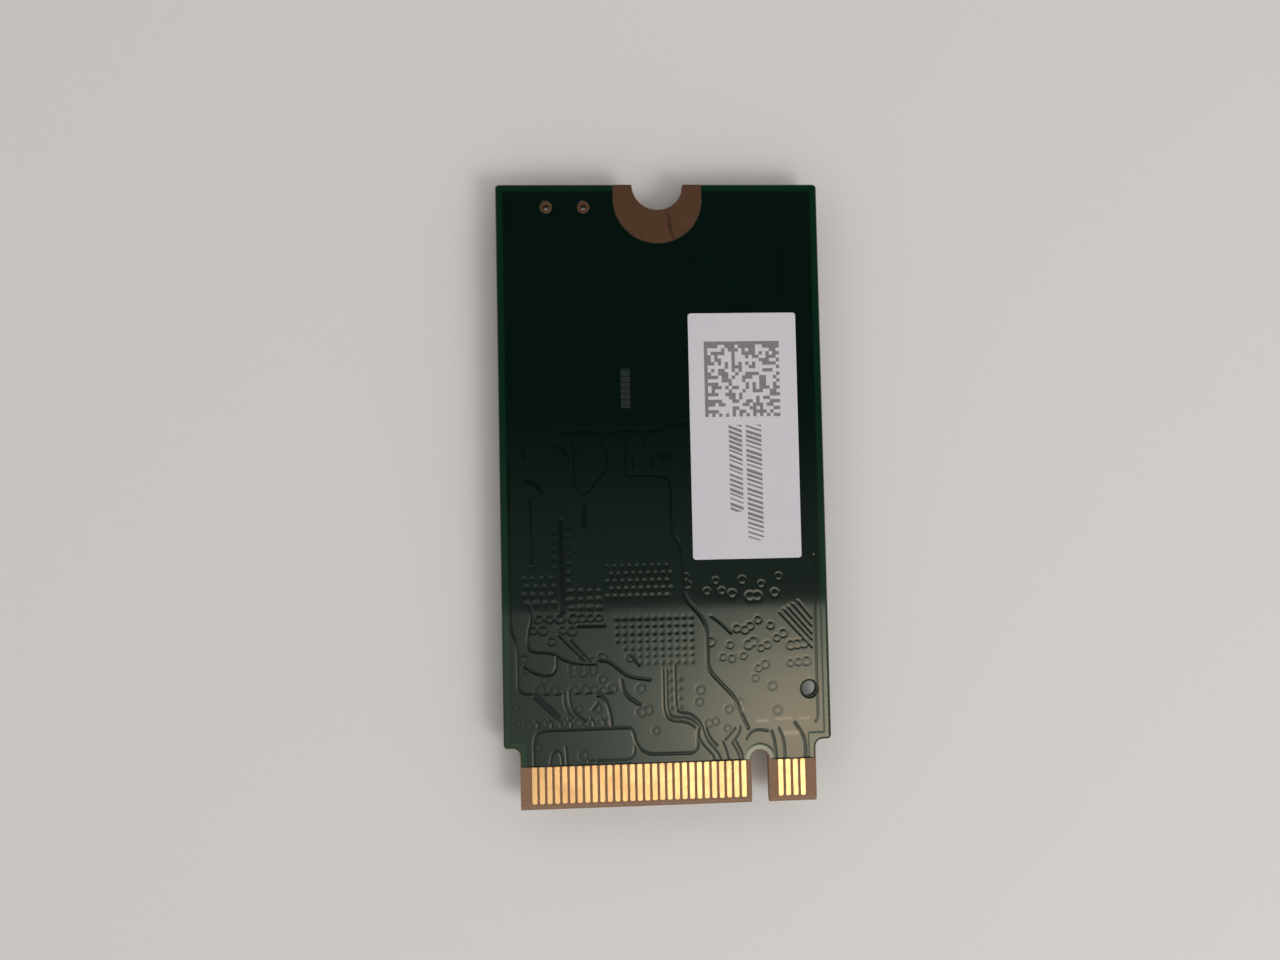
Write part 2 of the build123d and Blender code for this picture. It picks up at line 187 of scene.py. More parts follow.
class Shade:
    """Builder of one node tree, for a finish, for the floor or for the studio's sky."""

    def __init__(self, tree: bpy.types.NodeTree) -> None:
        """Start from an empty tree."""
        self.tree = tree
        tree.nodes.clear()

    def node(
        self, kind: str, inputs: dict[Any, Any] | None = None, output: Any = 0, **settings: Any
    ) -> Sock:
        """Add one node: its settings first, then its sockets.

        Args:
            kind: type name of the node.
            inputs: values or outputs for its sockets, by name or by index.
            output: name or index of the output to return.
            settings: attributes of the node, such as a Math node's operation.

        Returns:
            The chosen output.
        """
        made = self.tree.nodes.new(kind)
        for name, value in settings.items():
            setattr(made, name, value)
        for key, value in (inputs or {}).items():
            if isinstance(value, Sock):
                self.tree.links.new(value.link, made.inputs[key])
            else:
                made.inputs[key].default_value = value
        return Sock(self, made.outputs[output] if made.outputs else None)

    @cached_property
    def place(self) -> Sock:
        """Object coordinates in millimetres."""
        spot = self.node("ShaderNodeTexCoord", output="Object")
        return self.node("ShaderNodeVectorMath", {0: spot, "Scale": 1.0 / MM}, operation="SCALE")

    @cached_property
    def axes(self) -> tuple[Sock, Sock, Sock]:
        """X, Y and Z in millimetres."""
        return self.split(self.place)

    def split(self, vector: Sock) -> tuple[Sock, Sock, Sock]:
        """Three coordinates of a vector."""
        return tuple(self.node("ShaderNodeSeparateXYZ", {0: vector}, output=axis) for axis in "XYZ")

    def stretched(self, scale: Triple) -> Sock:
        """Coordinates multiplied axis by axis."""
        return self.node("ShaderNodeVectorMath", {0: self.place, 1: scale}, operation="MULTIPLY")

    def attribute(self, name: str) -> Sock:
        """Value that the piece holds for each of its points."""
        return self.node("ShaderNodeAttribute", output="Fac", attribute_name=name)

    def offset(self, middle: Place) -> tuple[Sock, Sock]:
        """X and Y measured from a middle."""
        return self.axes[0] - middle[0], self.axes[1] - middle[1]

    def reach(self, right: Sock, up: Sock) -> Sock:
        """Distance in plan that two offsets make."""
        return (right * right + up * up).root()

    def weave(self, pitch: float) -> Sock:
        """Waves of woven cloth: the sine along X times the sine along Y."""
        turn = 2.0 * math.pi / pitch
        return (self.axes[0] * turn).sine() * (self.axes[1] * turn).sine()

    def noise(self, scale: float, detail: float = 2.0, place: Sock | None = None) -> Sock:
        """Cloudy noise between about 0 and 1, with features of 1 / scale millimetres."""
        inputs = {"Vector": place or self.place, "Scale": scale, "Detail": detail}
        return self.node("ShaderNodeTexNoise", inputs)

    def chance(self, column: Any, row: Any) -> Sock:
        """Number from 0 to 1 that is fixed for each whole column and row."""
        cell = self.node("ShaderNodeCombineXYZ", {0: column, 1: row})
        return self.node("ShaderNodeTexWhiteNoise", {"Vector": cell}, noise_dimensions="2D")

    def ramp(self, value: Any, start: float, end: float) -> Sock:
        """Smooth ramp from 0 at start to 1 at end."""
        inputs = {"Value": value, "From Min": start, "From Max": end}
        return self.node("ShaderNodeMapRange", inputs, interpolation_type="SMOOTHSTEP")

    def window(self, value: Sock, low: float, high: float, soft: float) -> Sock:
        """1 between two limits, with a smooth ramp of twice soft at each."""
        opened = self.ramp(value, low - soft, low + soft)
        return opened * (1.0 - self.ramp(value, high - soft, high + soft))

    def mix(self, share: Any, first: Any, second: Any) -> Sock:
        """Colour between two: the first at a share of 0, the second at 1.

        Args:
            share: value or output.
            first: colour, or output that holds one.
            second: colour, or output that holds one.

        Returns:
            The mixed colour.
        """
        ends = [end if isinstance(end, Sock) else (*end, 1.0) for end in (first, second)]
        inputs = {0: share, 6: ends[0], 7: ends[1]}
        return self.node("ShaderNodeMix", inputs, output=2, data_type="RGBA")

    def bump(self, height: Sock, strength: float, depth: float) -> Sock:
        """Normal of a surface whose height varies by depth millimetres."""
        inputs = {"Height": height, "Strength": strength, "Distance": depth * MM}
        return self.node("ShaderNodeBump", inputs)

    def shader(self, **sockets: Any) -> Sock:
        """Principled shader.

        Args:
            sockets: values or outputs, by socket name with _ for a space.

        Returns:
            The shader's output.
        """
        inputs = {name.replace("_", " "): value for name, value in sockets.items()}
        return self.node("ShaderNodeBsdfPrincipled", inputs)

    def close(self, shader: Sock) -> None:
        """End a material's tree with a shader."""
        self.node("ShaderNodeOutputMaterial", {"Surface": shader})

    def surface(self, **sockets: Any) -> None:
        """End a material's tree with one Principled shader, of the given sockets."""
        self.close(self.shader(**sockets))


@dataclass(frozen=True)
class Finish:
    """Procedural finish for one of the record's material slots."""

    slot: str

    def paint(self, shade: Shade) -> None:
        """Fill the finish's node tree; each kind of finish has its own way."""
        raise NotImplementedError

    def name(self) -> str:
        """Name of the finish's material."""
        return f"{type(self).__name__}_{self.slot}"

    def material(self) -> bpy.types.Material:
        """The finish as a material, made once.

        Returns:
            A material named for the kind of finish and its slot.
        """
        made = bpy.data.materials.get(self.name())
        if made is None:
            made = bpy.data.materials.new(self.name())
            made.use_nodes = True
            self.paint(Shade(made.node_tree))
        return made


@dataclass(frozen=True)
class MaskFinish(Finish):
    """Green solder mask: dark over copper, livelier where bare laminate lies under it.

    The labelled side has a row of ink dashes, some pale bars and a painted highlight, a pale
    patch round the key slot. The component side has ink brackets at the corners of its packages.
    """

    side: Side = Side.BACK
    outlines: tuple[Area, ...] = ()
    over_copper: Colour = (0.0023, 0.0076, 0.0053)
    over_laminate: Colour = (0.0034, 0.0230, 0.0105)
    # painted shade: dark colour of the grooves' floor
    in_groove: Colour = (0.0012, 0.0034, 0.0024)
    gloss_tint: Colour = (0.86, 1.0, 0.86)
    film_ior: float = 1.52
    film_rough: float = 0.035
    mottle_scale: float = 0.45
    mottle_share: float = 0.10
    mottle_rough: float = 0.02
    groove_rough: float = 0.05
    groove_share: float = 0.54
    floor_rough: float = 0.08
    floor_mottle: float = 0.06
    floor_gloss: float = 0.06
    cloth_pitch: float = 0.62
    cloth_share: float = 0.35
    grain_scale: float = 9.0
    grain_share: float = 0.5
    wave_height: float = 0.0002
    ink: Colour = (0.30, 0.33, 0.31)
    ink_rough: float = 1.5
    mark_middle: Place = (-2.44, 7.03)
    mark_half: Place = (0.34, 1.36)
    mark_edge: float = 0.05
    mark_pitch: float = 0.39
    mark_gap: Span = (0.10, 0.26)
    mark_ground: float = 0.35
    mark_strength: float = 0.07
    bracket_gap: float = 0.30
    bracket_line: float = 0.11
    bracket_arm: float = 0.85
    bracket_strength: float = 0.8
    pale: Colour = (0.150, 0.125, 0.095)
    pale_bars: tuple[Area, ...] = (
        (5.90, -15.66, 6.80, -15.46),
        (7.25, -15.55, 8.35, -15.37),
        (8.80, -15.52, 9.60, -15.38),
        (7.75, -16.56, 8.90, -16.28),
        (4.90, -15.00, 5.10, -14.20),
    )
    bar_edge: float = 0.10
    bar_strength: float = 0.7
    # painted highlight: pale colour round the top of the key slot
    rubbed: Colour = (0.20, 0.21, 0.165)
    rub_middle: Place = (6.125, -18.15)
    rub_reach: Span = (0.78, 1.12)
    rub_top: Span = (-0.9, 0.3)
    rub_scale: float = 1.6
    rub_ragged: float = 0.22
    rub_lean: float = 0.10
    rub_strength: float = 0.85

    def name(self) -> str:
        """Name of the finish's material, one for each side."""
        return f"{super().name()}_{self.side.name.lower()}"

    # painted highlight, not wear, despite the method's name
    def wear(self, shade: Shade) -> Sock:
        """Painted highlight round the top of the key slot, as a pale patch: 1 where it is full.

        Args:
            shade: tree of the finish.

        Returns:
            Cover of the painted highlight.
        """
        right, up = shade.offset(self.rub_middle)
        reach = shade.reach(right, up)
        ragged = reach + self.rub_ragged * (shade.noise(self.rub_scale, detail=3.0) - 0.5)
        patch = 1.0 - shade.ramp(ragged + self.rub_lean * right, *self.rub_reach)
        return patch * shade.ramp(up, *self.rub_top)

    def bars(self, shade: Shade) -> Sock:
        """Pale soft-edged bars: 1 in a bar, 0 elsewhere.

        Args:
            shade: tree of the finish.

        Returns:
            Cover of the bars.
        """
        x, y, _ = shade.axes
        cover: Any = 0.0
        for left, low, right, high in self.pale_bars:
            wide = shade.window(x, left, right, self.bar_edge)
            cover = wide * shade.window(y, low, high, self.bar_edge) + cover
        return cover

    def brackets(self, shade: Shade) -> Sock:
        """Printed brackets at the corners of each outlined package: 1 in a line, 0 elsewhere.

        Args:
            shade: tree of the finish.

        Returns:
            Cover of the ink.
        """
        gap, line, arm = self.bracket_gap, self.bracket_line, self.bracket_arm
        cover: Any = 0.0
        for left, low, right, high in self.outlines:
            half_x, half_y = (right - left) / 2.0 + gap, (high - low) / 2.0 + gap
            u, v = (off.size() for off in shade.offset(((left + right) / 2.0, (low + high) / 2.0)))
            within = (u < half_x) * (v < half_y)
            ring = (u < half_x + line) * (v < half_y + line) * (1.0 - within)
            cover = ring * (u > half_x - arm) * (v > half_y - arm) + cover
        return cover

    def dashes(self, shade: Shade) -> Sock:
        """Row of plain ink dashes: 1 in a dash, 0 elsewhere.

        Args:
            shade: tree of the finish.

        Returns:
            Cover of the ink.
        """
        right, up = shade.offset(self.mark_middle)
        half_x, half_y = self.mark_half
        wide = 1.0 - shade.ramp(right.size(), half_x - self.mark_edge, half_x)
        long = 1.0 - shade.ramp(up.size(), half_y - self.mark_edge, half_y)
        dash = shade.ramp((up / self.mark_pitch) % 1.0, *self.mark_gap)
        return wide * long * (self.mark_ground + (1.0 - self.mark_ground) * dash)

    def paint(self, shade: Shade) -> None:
        """Mask colour by what lies under it, with the glass cloth showing faintly as waves.

        A clear film is mixed with a painted shade, the grooves' dark floor, by how deep they are.

        Args:
            shade: tree of the finish.
        """
        plane, groove = shade.attribute("plane"), shade.attribute("groove")
        mottle = shade.noise(self.mottle_scale, detail=4.0)
        copper = plane - self.mottle_share * (mottle - 0.5)
        green = shade.mix(copper, self.over_laminate, self.over_copper)
        if self.side is Side.BACK:
            ink = self.mark_strength * self.dashes(shade)
            green = shade.mix(self.bar_strength * self.bars(shade), green, self.pale)
            # painted highlight round the key slot, given as a pale patch
            green = shade.mix(self.rub_strength * self.wear(shade), green, self.rubbed)
        else:
            ink = self.bracket_strength * self.brackets(shade)
        cloth = self.cloth_share * shade.weave(self.cloth_pitch)
        waves = cloth + self.grain_share * shade.noise(self.grain_scale)
        rough = self.film_rough + self.mottle_rough * mottle
        film = shade.shader(
            Base_Color=shade.mix(ink, green, self.ink),
            Roughness=rough + self.ink_rough * ink + self.groove_rough * groove,
            IOR=self.film_ior,
            Specular_Tint=(*self.gloss_tint, 1.0),
            Normal=shade.bump(waves, strength=0.20, depth=self.wave_height),
        )
        # painted shade: the grooves' floor, dark and with little reflection
        floor = shade.shader(
            Base_Color=shade.mix(mottle, self.in_groove, self.over_copper),
            Roughness=self.floor_rough + self.floor_mottle * mottle,
            Specular_IOR_Level=self.floor_gloss,
        )
        # painted shade mixed into the grooves by their depth
        layers = {0: self.groove_share * groove, 1: film, 2: floor}
        shade.close(shade.node("ShaderNodeMixShader", layers))


@dataclass(frozen=True)
class LaminateFinish(Finish):
    """Bare glass-epoxy: tan, woven on its faces and layered along its routed edges."""

    resin: Colour = (0.200, 0.108, 0.060)
    glass: Colour = (0.275, 0.160, 0.096)
    seam: Colour = (0.070, 0.062, 0.032)
    edge: Colour = (0.030, 0.042, 0.022)
    tongue_y: float = -17.0
    tongue_fade: float = 0.4
    cloth_pitch: float = 0.45
    layer_pitch: float = 0.12
    fibre_scale: Triple = (9.0, 9.0, 30.0)
    edge_strength: float = 0.85
    seam_strength: float = 0.55
    seam_ragged: float = 0.7
    weave_share: float = 0.10
    weave_bump: float = 0.2
    least_rough: float = 0.46
    fibre_rough: float = 0.30
    depth: float = 0.008

    def paint(self, shade: Shade) -> None:
        """Woven bundles in plan, and dark resin seams between the layers of cloth.

        Args:
            shade: tree of the finish.
        """
        _, y, z = shade.axes
        weave = shade.weave(self.cloth_pitch)
        fibre = shade.noise(1.0, detail=3.0, place=shade.stretched(self.fibre_scale))
        layer = (z * (2.0 * math.pi / self.layer_pitch)).sine()
        share = shade.ramp(self.weave_share * weave + fibre, start=0.15, end=0.95)
        seams = shade.ramp(layer + self.seam_ragged * (fibre - 0.5), start=0.55, end=1.0)
        broad = shade.ramp(y, self.tongue_y - self.tongue_fade, self.tongue_y + self.tongue_fade)
        cloth = shade.mix(share, self.resin, self.glass)
        cloth = shade.mix(self.edge_strength * broad, cloth, self.edge)
        shade.surface(
            Base_Color=shade.mix(self.seam_strength * seams, cloth, self.seam),
            Roughness=self.least_rough + self.fibre_rough * fibre,
            Normal=shade.bump(fibre + self.weave_bump * weave, strength=0.35, depth=self.depth),
        )


@dataclass(frozen=True)
class MetalFinish(Finish):
    """Plated or tinned metal, with a drawn grain and a dull bloom."""

    bright: Colour
    dull: Colour
    smooth: float
    rough: float
    grain: Triple = (6.0, 6.0, 6.0)
    depth: float = 0.004

    def paint(self, shade: Shade) -> None:
        """Slow bloom, and a finer grain that can run one way.

        Args:
            shade: tree of the finish.
        """
        bloom = shade.ramp(shade.noise(0.8, detail=4.0), start=0.34, end=0.70)
        grain = shade.noise(1.0, detail=3.0, place=shade.stretched(self.grain))
        wear = shade.ramp(grain, start=0.30, end=0.72)
        shade.surface(
            Base_Color=shade.mix(0.65 * bloom + 0.35 * wear, self.bright, self.dull),
            Metallic=1.0,
            Roughness=self.smooth + (self.rough - self.smooth) * (0.6 * bloom + 0.4 * wear),
            Normal=shade.bump(grain, strength=0.4, depth=self.depth),
        )


@dataclass(frozen=True)
class ScrewLandFinish(Finish):
    """Dull plated land of the screw seat, scuffed round the notch by screw heads."""

    bright: Colour = (0.205, 0.108, 0.059)
    dull: Colour = (0.130, 0.067, 0.037)
    scratch: Colour = (0.055, 0.028, 0.017)
    centre: Place = (0.0, 21.0)
    scratch_from: Place = (0.66, 19.05)
    scratch_to: Place = (1.05, 17.25)
    scratch_half: float = 0.15
    scratch_core: float = 0.2
    scratch_wander: float = 0.40
    scratch_start: Span = (-0.12, 0.08)
    scratch_end: Span = (0.92, 1.05)
    scratch_strength: float = 0.8
    middle_z: float = 1.50
    ring_scale: float = 14.0
    ring_waver: float = 1.5
    ring_bump: float = 0.5
    metal: float = 0.88
    worn_metal: float = 0.10
    least_rough: float = 0.42
    worn_rough: float = 0.16
    scratch_rough: float = 0.2
    depth: float = 0.010

    def scored(self, shade: Shade) -> Sock:
        """One dark scratch across the land: 1 on its line, fading out to its sides and ends.

        Args:
            shade: tree of the finish.

        Returns:
            Cover of the scratch.
        """
        run = np.subtract(self.scratch_to, self.scratch_from)
        length = float(np.hypot(*run))
        along_x, along_y = (run / length).tolist()
        right, up = shade.offset(self.scratch_from)
        along = (right * along_x + up * along_y) / length
        wander = self.scratch_wander * (shade.noise(1.1, detail=1.0) - 0.5)
        aside = (right * along_y - up * along_x + wander).size()
        line = 1.0 - shade.ramp(aside, self.scratch_core * self.scratch_half, self.scratch_half)
        ends = shade.ramp(along, *self.scratch_start) * (1.0 - shade.ramp(along, *self.scratch_end))
        return line * ends * (shade.axes[2] > self.middle_z)

    def paint(self, shade: Shade) -> None:
        """Rings about the notch from screw heads, over a cloudy bloom, with one dark scratch.

        Args:
            shade: tree of the finish.
        """
        reach = shade.reach(*shade.offset(self.centre))
        bloom = shade.noise(1.1, detail=4.0)
        polar = {0: reach * self.ring_scale, 1: bloom * self.ring_waver}
        rings = shade.noise(1.0, place=shade.node("ShaderNodeCombineXYZ", polar))
        worn = shade.ramp(0.6 * bloom + 0.4 * rings, start=0.36, end=0.62)
        mark = self.scored(shade)
        plate = shade.mix(worn, self.bright, self.dull)
        relief = self.ring_bump * rings + bloom - mark
        shade.surface(
            Base_Color=shade.mix(self.scratch_strength * mark, plate, self.scratch),
            Metallic=self.metal - self.worn_metal * worn,
            Roughness=self.least_rough + self.worn_rough * worn + self.scratch_rough * mark,
            Normal=shade.bump(relief, strength=0.45, depth=self.depth),
        )


@dataclass(frozen=True)
class GrainFinish(Finish):
    """Moulded, pressed or fired body with a fine speckle."""

    body: Colour
    speck: Colour
    roughness: float
    speck_scale: float = 14.0
    depth: float = 0.006
    cloud_rough: float = 0.16
    speck_rough: float = 0.10

    def paint(self, shade: Shade) -> None:
        """Fine filler specks over a slow change of tone.

        Args:
            shade: tree of the finish.
        """
        cloud = shade.noise(0.6, detail=3.0)
        specks = shade.noise(self.speck_scale, detail=3.0)
        share = shade.ramp(0.7 * specks + 0.3 * cloud, start=0.42, end=0.66)
        clouded = self.roughness + self.cloud_rough * (cloud - 0.5)
        shade.surface(
            Base_Color=shade.mix(share, self.body, self.speck),
            Roughness=clouded + self.speck_rough * share,
            Normal=shade.bump(specks, strength=0.5, depth=self.depth),
        )


@dataclass(frozen=True)
class PaperFinish(Finish):
    """White label stock with a field of square ink cells and two rows of slanted ink bars."""

    paper: Colour = (0.635, 0.615, 0.660)
    shade_tone: Colour = (0.580, 0.562, 0.602)
    ink: Colour = (0.075, 0.060, 0.052)
    field_low: Place = (2.95, 5.00)
    field_size: float = 5.16
    field_cells: int = 22
    field_ink: float = 0.44
    field_seed: Place = (3.0, 11.0)
    row_top: float = 4.44
    row_pitch: float = 0.655
    rows: tuple[tuple[float, float, int], ...] = ((5.70, 1.06, 12), (4.52, 0.90, 9))
    bars_per_step: float = 2.0
    bar_slant: float = 1.1
    bar_start: float = 2.0
    thin_bar: float = 0.30
    bar_spread: float = 0.42
    bar_seed: Place = (31.0, 7.0)
    fibre_scale: Triple = (9.0, 22.0, 9.0)
    ragged: float = 0.05
    ink_cover: float = 0.74
    ink_mottle: float = 0.5
    least_rough: float = 0.62
    fibre_rough: float = 0.16
    gloss: float = 0.35
    depth: float = 0.004

    def cells(self, shade: Shade, across: Sock, along: Sock) -> Sock:
        """Square field of ink cells: solid on two sides, dashed on the others, chance inside.

        Args:
            shade: tree of the finish.
            across: X in millimetres.
            along: Y in millimetres.

        Returns:
            1 where there is ink, else 0.
        """
        last = self.field_cells - 1.0
        step = self.field_size / self.field_cells
        u = ((across - self.field_low[0]) / step).floor()
        v = ((along - self.field_low[1]) / step).floor()
        inside = (u > -0.5) * (u < last + 0.5) * (v > -0.5) * (v < last + 0.5)
        solid = (u < 0.5).most(v > last - 0.5)
        dashed = ((u > last - 0.5) * ((v % 2.0) < 0.5)).most((v < 0.5) * ((u % 2.0) < 0.5))
        middle = (u > 0.5) * (u < last - 0.5) * (v > 0.5) * (v < last - 0.5)
        drawn = shade.chance(u + self.field_seed[0], v + self.field_seed[1])
        return inside * solid.most(dashed).most((drawn < self.field_ink) * middle)

    def slanted_bars(
        self, shade: Shade, across: Sock, along: Sock, row: tuple[float, float, int]
    ) -> Sock:
        """Row of slanted ink bars, each as wide as chance makes it.

        Args:
            shade: tree of the finish.
            across: X in millimetres.
            along: Y in millimetres.
            row: left side, height and number of steps.

        Returns:
            1 where there is ink, else 0.
        """
        left, height, count = row
        run = (self.row_top - along) / self.row_pitch
        rise = (across - left) / height
        inside = (run > 0.0) * (run < float(count)) * (rise > 0.0) * (rise < 1.0)
        phase = self.bars_per_step * run - self.bar_slant * rise + self.bar_start
        number = phase.floor()
        drawn = shade.chance(number + self.bar_seed[0] * left, number + self.bar_seed[1])
        return inside * ((phase % 1.0) < self.thin_bar + self.bar_spread * drawn)

    def paint(self, shade: Shade) -> None:
        """Ink over paper fibres, with the print's edges a little ragged.

        Args:
            shade: tree of the finish.
        """
        x, y, _ = shade.axes
        fibre = shade.noise(1.0, detail=3.0, place=shade.stretched(self.fibre_scale))
        cloud = shade.noise(0.25)
        across, along = x + self.ragged * (fibre - 0.5), y + self.ragged * (cloud - 0.5)
        printed = self.cells(shade, across, along)
        for row in self.rows:
            printed = printed.most(self.slanted_bars(shade, across, along, row))
        ink = printed * (self.ink_cover + self.ink_mottle * (fibre - 0.5))
        stock = shade.mix(0.6 * fibre + 0.4 * cloud, self.shade_tone, self.paper)
        shade.surface(
            Base_Color=shade.mix(ink, stock, self.ink),
            Roughness=self.least_rough + self.fibre_rough * fibre,
            Specular_IOR_Level=self.gloss,
            Normal=shade.bump(fibre, strength=0.25, depth=self.depth),
        )


MASK = MaskFinish("solder_mask")
LAMINATE = LaminateFinish("laminate")
CONTACT_GOLD = MetalFinish(
    "gold_contacts", (0.95, 0.63, 0.285), (0.89, 0.55, 0.24), 0.24, 0.32, (16.0, 1.2, 8.0), 0.0006
)
SEAT_GOLD = ScrewLandFinish("seat_plating")
PAPER = PaperFinish("label_paper")
MOULD = GrainFinish("mould_compound", (0.020, 0.020, 0.021), (0.055, 0.055, 0.057), 0.52)
SUBSTRATE = GrainFinish(
    "package_substrate", (0.020, 0.085, 0.040), (0.045, 0.130, 0.062), 0.40, 6.0
)
SOLDER = MetalFinish("solder", (0.72, 0.72, 0.72), (0.48, 0.48, 0.49), 0.22, 0.46)
TIN = MetalFinish("tinned_terminals", (0.78, 0.77, 0.75), (0.56, 0.55, 0.53), 0.24, 0.44)
FERRITE = GrainFinish(
    "inductor_ferrite", (0.060, 0.060, 0.064), (0.125, 0.124, 0.128), 0.58, 9.0, 0.010
)
CAPACITOR = GrainFinish(
    "capacitor_ceramic", (0.330, 0.215, 0.125), (0.440, 0.310, 0.195), 0.40, 11.0, 0.004
)
RESISTOR = GrainFinish(
    "resistor_film", (0.022, 0.022, 0.024), (0.050, 0.050, 0.054), 0.24, 8.0, 0.003
)
FUSE = GrainFinish(
    "fuse_ceramic", (0.640, 0.650, 0.610), (0.740, 0.745, 0.710), 0.46, 10.0, 0.004
)
CRYSTAL_BASE = GrainFinish(
    "crystal_ceramic", (0.075, 0.065, 0.058), (0.130, 0.115, 0.100), 0.44, 10.0
)
CRYSTAL_LID = MetalFinish(
    "crystal_metal", (0.74, 0.72, 0.68), (0.56, 0.54, 0.50), 0.26, 0.40, (3.0, 18.0, 8.0)
)


def put(name: str, data: bpy.types.ID) -> bpy.types.Object:
    """New object in the scene for a mesh, a lamp or a camera.

    Args:
        name: name of the object.
        data: what the object shows.

    Returns:
        The object.
    """
    made = bpy.data.objects.new(name, data)
    bpy.context.scene.collection.objects.link(made)
    return made


def add_piece(
    name: str,
    shape: Shape,
    finish: Finish,
    node: str,
    values: dict[str, np.ndarray] | None = None,
    sharp_deg: float = 40.0,
) -> None:
    """Make one piece of the card, riding on its body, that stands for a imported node.

    Args:
        name: name of the piece.
        shape: corners in millimetres, and arrays of faces, one for each number of corners.
        finish: finish of the piece.
        node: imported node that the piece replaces.
        values: named values for each corner, for the finish to read.
        sharp_deg: angle above which an edge is shaded sharp.
    """
    points, faces = shape
    mesh = bpy.data.meshes.new(name)
    rows = [row for part in faces for row in part.tolist()]
    mesh.from_pydata((points * MM).tolist(), [], rows)
    for key, value in (values or {}).items():
        attribute = mesh.attributes.new(key, "FLOAT", "POINT")
        attribute.data.foreach_set("value", value.astype(np.float32))
    net = bmesh.new()
    net.from_mesh(mesh)
    bmesh.ops.remove_doubles(net, verts=net.verts, dist=MERGE_REACH * MM)
    net.to_mesh(mesh)
    net.free()
    mesh.shade_smooth()
    mesh.set_sharp_from_angle(angle=math.radians(sharp_deg))
    mesh.materials.append(finish.material())
    piece = put(name, mesh)
    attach(piece, ROOT)
    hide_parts(node)
    log.info("%s: %d faces", name, len(mesh.polygons))


def rim_steps(radius: float, count: int) -> list[Place]:
    """Quarter-round rim as (inset, drop) pairs, from the side up to the flat."""
    turn = np.linspace(0.0, math.pi / 2.0, count + 1)
    return list(zip(radius * (1.0 - np.cos(turn)), radius * (1.0 - np.sin(turn))))


def upright_rings(low_rim: float, high_rim: float, count: int = 3) -> list[Ring]:
    """Rings of a block with rounded rims: inset, share of the height, and shift in millimetres.

    Args:
        low_rim: radius of the lower rim, 0 for a sharp one.
        high_rim: radius of the upper rim, 0 for a sharp one.
        count: facets of each rounded rim.

    Returns:
        Rings from the lowest to the highest.
    """
    low, high = (
        [*rim_steps(rim, count), (RIM_FLAT * rim, 0.0)] if rim else [(0.0, 0.0)]
        for rim in (low_rim, high_rim)
    )
    lower = [(inset, 0.0, drop) for inset, drop in reversed(low)]
    return lower + [(inset, 1.0, -drop) for inset, drop in high]


def blocks(
    boxes: np.ndarray, corners: Any, rings: Sequence[Ring], cut: Cut = Cut.ROUND
) -> Shape:
    """Closed blocks with cut corners: a rounded rectangle carried up through rings.

    A point of a ring is the middle of its corner's arc plus the arc's radius, less the ring's
    inset, times the direction from it. All blocks are worked out at once.

    Args:
        boxes: blocks by corner (lowest, highest) by axis, in millimetres.
        corners: radius of the +X+Y, -X+Y, -X-Y and +X-Y corner in plan, or one for all four.
        rings: inset, share of the height and shift of each ring, from the lowest up.
        cut: how the corners are cut.

    Returns:
        Corners as rows, and arrays of faces.
    """
    facets = cut.value
    turn = np.concatenate([np.linspace(q, q + 1, facets + 1) for q in range(4)]) * math.pi / 2.0
    away = np.stack([np.cos(turn), np.sin(turn)], -1)
    sign = np.repeat(np.array([(1, 1), (-1, 1), (-1, -1), (1, -1)]), facets + 1, axis=0)
    radius = np.repeat(np.broadcast_to(np.asarray(corners, float), 4), facets + 1)
    inset, share, shift = (np.array(column, float)[:, None] for column in zip(*rings))
    half = (boxes[:, 1, :2] - boxes[:, 0, :2]) / 2.0
    middle = (boxes[:, 1, :2] + boxes[:, 0, :2]) / 2.0
    arc_middle = half[:, None, None] - np.maximum(radius, inset)[None, ..., None]
    arc = np.maximum(radius - inset, 0.0)[None, ..., None] * away
    plan = middle[:, None, None] + sign * arc_middle + arc
    low, high = boxes[:, 0, 2][:, None, None], boxes[:, 1, 2][:, None, None]
    level = np.broadcast_to(low + share * (high - low) + shift, plan.shape[:3])
    points = np.concatenate([plan, level[..., None]], -1)
    count, levels, around = points.shape[:3]
    index = np.arange(count * levels * around).reshape(count, levels, around)
    beside = np.roll(index, -1, axis=2)
    sides = np.stack([index[:, :-1], beside[:, :-1], beside[:, 1:], index[:, 1:]], -1)
    return points.reshape(-1, 3), [sides.reshape(-1, 4), index[:, -1], index[:, 0, ::-1]]


def turned(profile: np.ndarray, middles: np.ndarray, count: int = 40) -> Shape:
    """Closed rings: a closed profile of radius and level, turned about upright axes.

    Args:
        profile: radius and level of each point, in order round the profile.
        middles: X and Y of each axis.
        count: facets round each ring.

    Returns:
        Corners as rows, and one array of faces.
    """
    turn = np.arange(count) * 2.0 * math.pi / count
    away = np.stack([np.cos(turn), np.sin(turn)], -1)
    plan = middles[:, None, None] + profile[None, None, :, :1] * away[None, :, None]
    level = np.broadcast_to(profile[:, 1], plan.shape[:3])
    points = np.concatenate([plan, level[..., None]], -1)
    index = np.arange(points.size // 3).reshape(points.shape[:3])
    beside, ahead = np.roll(index, -1, axis=2), np.roll(index, -1, axis=1)
    quads = np.stack([index, beside, np.roll(beside, -1, axis=1), ahead], -1)
    return points.reshape(-1, 3), [quads.reshape(-1, 4)]


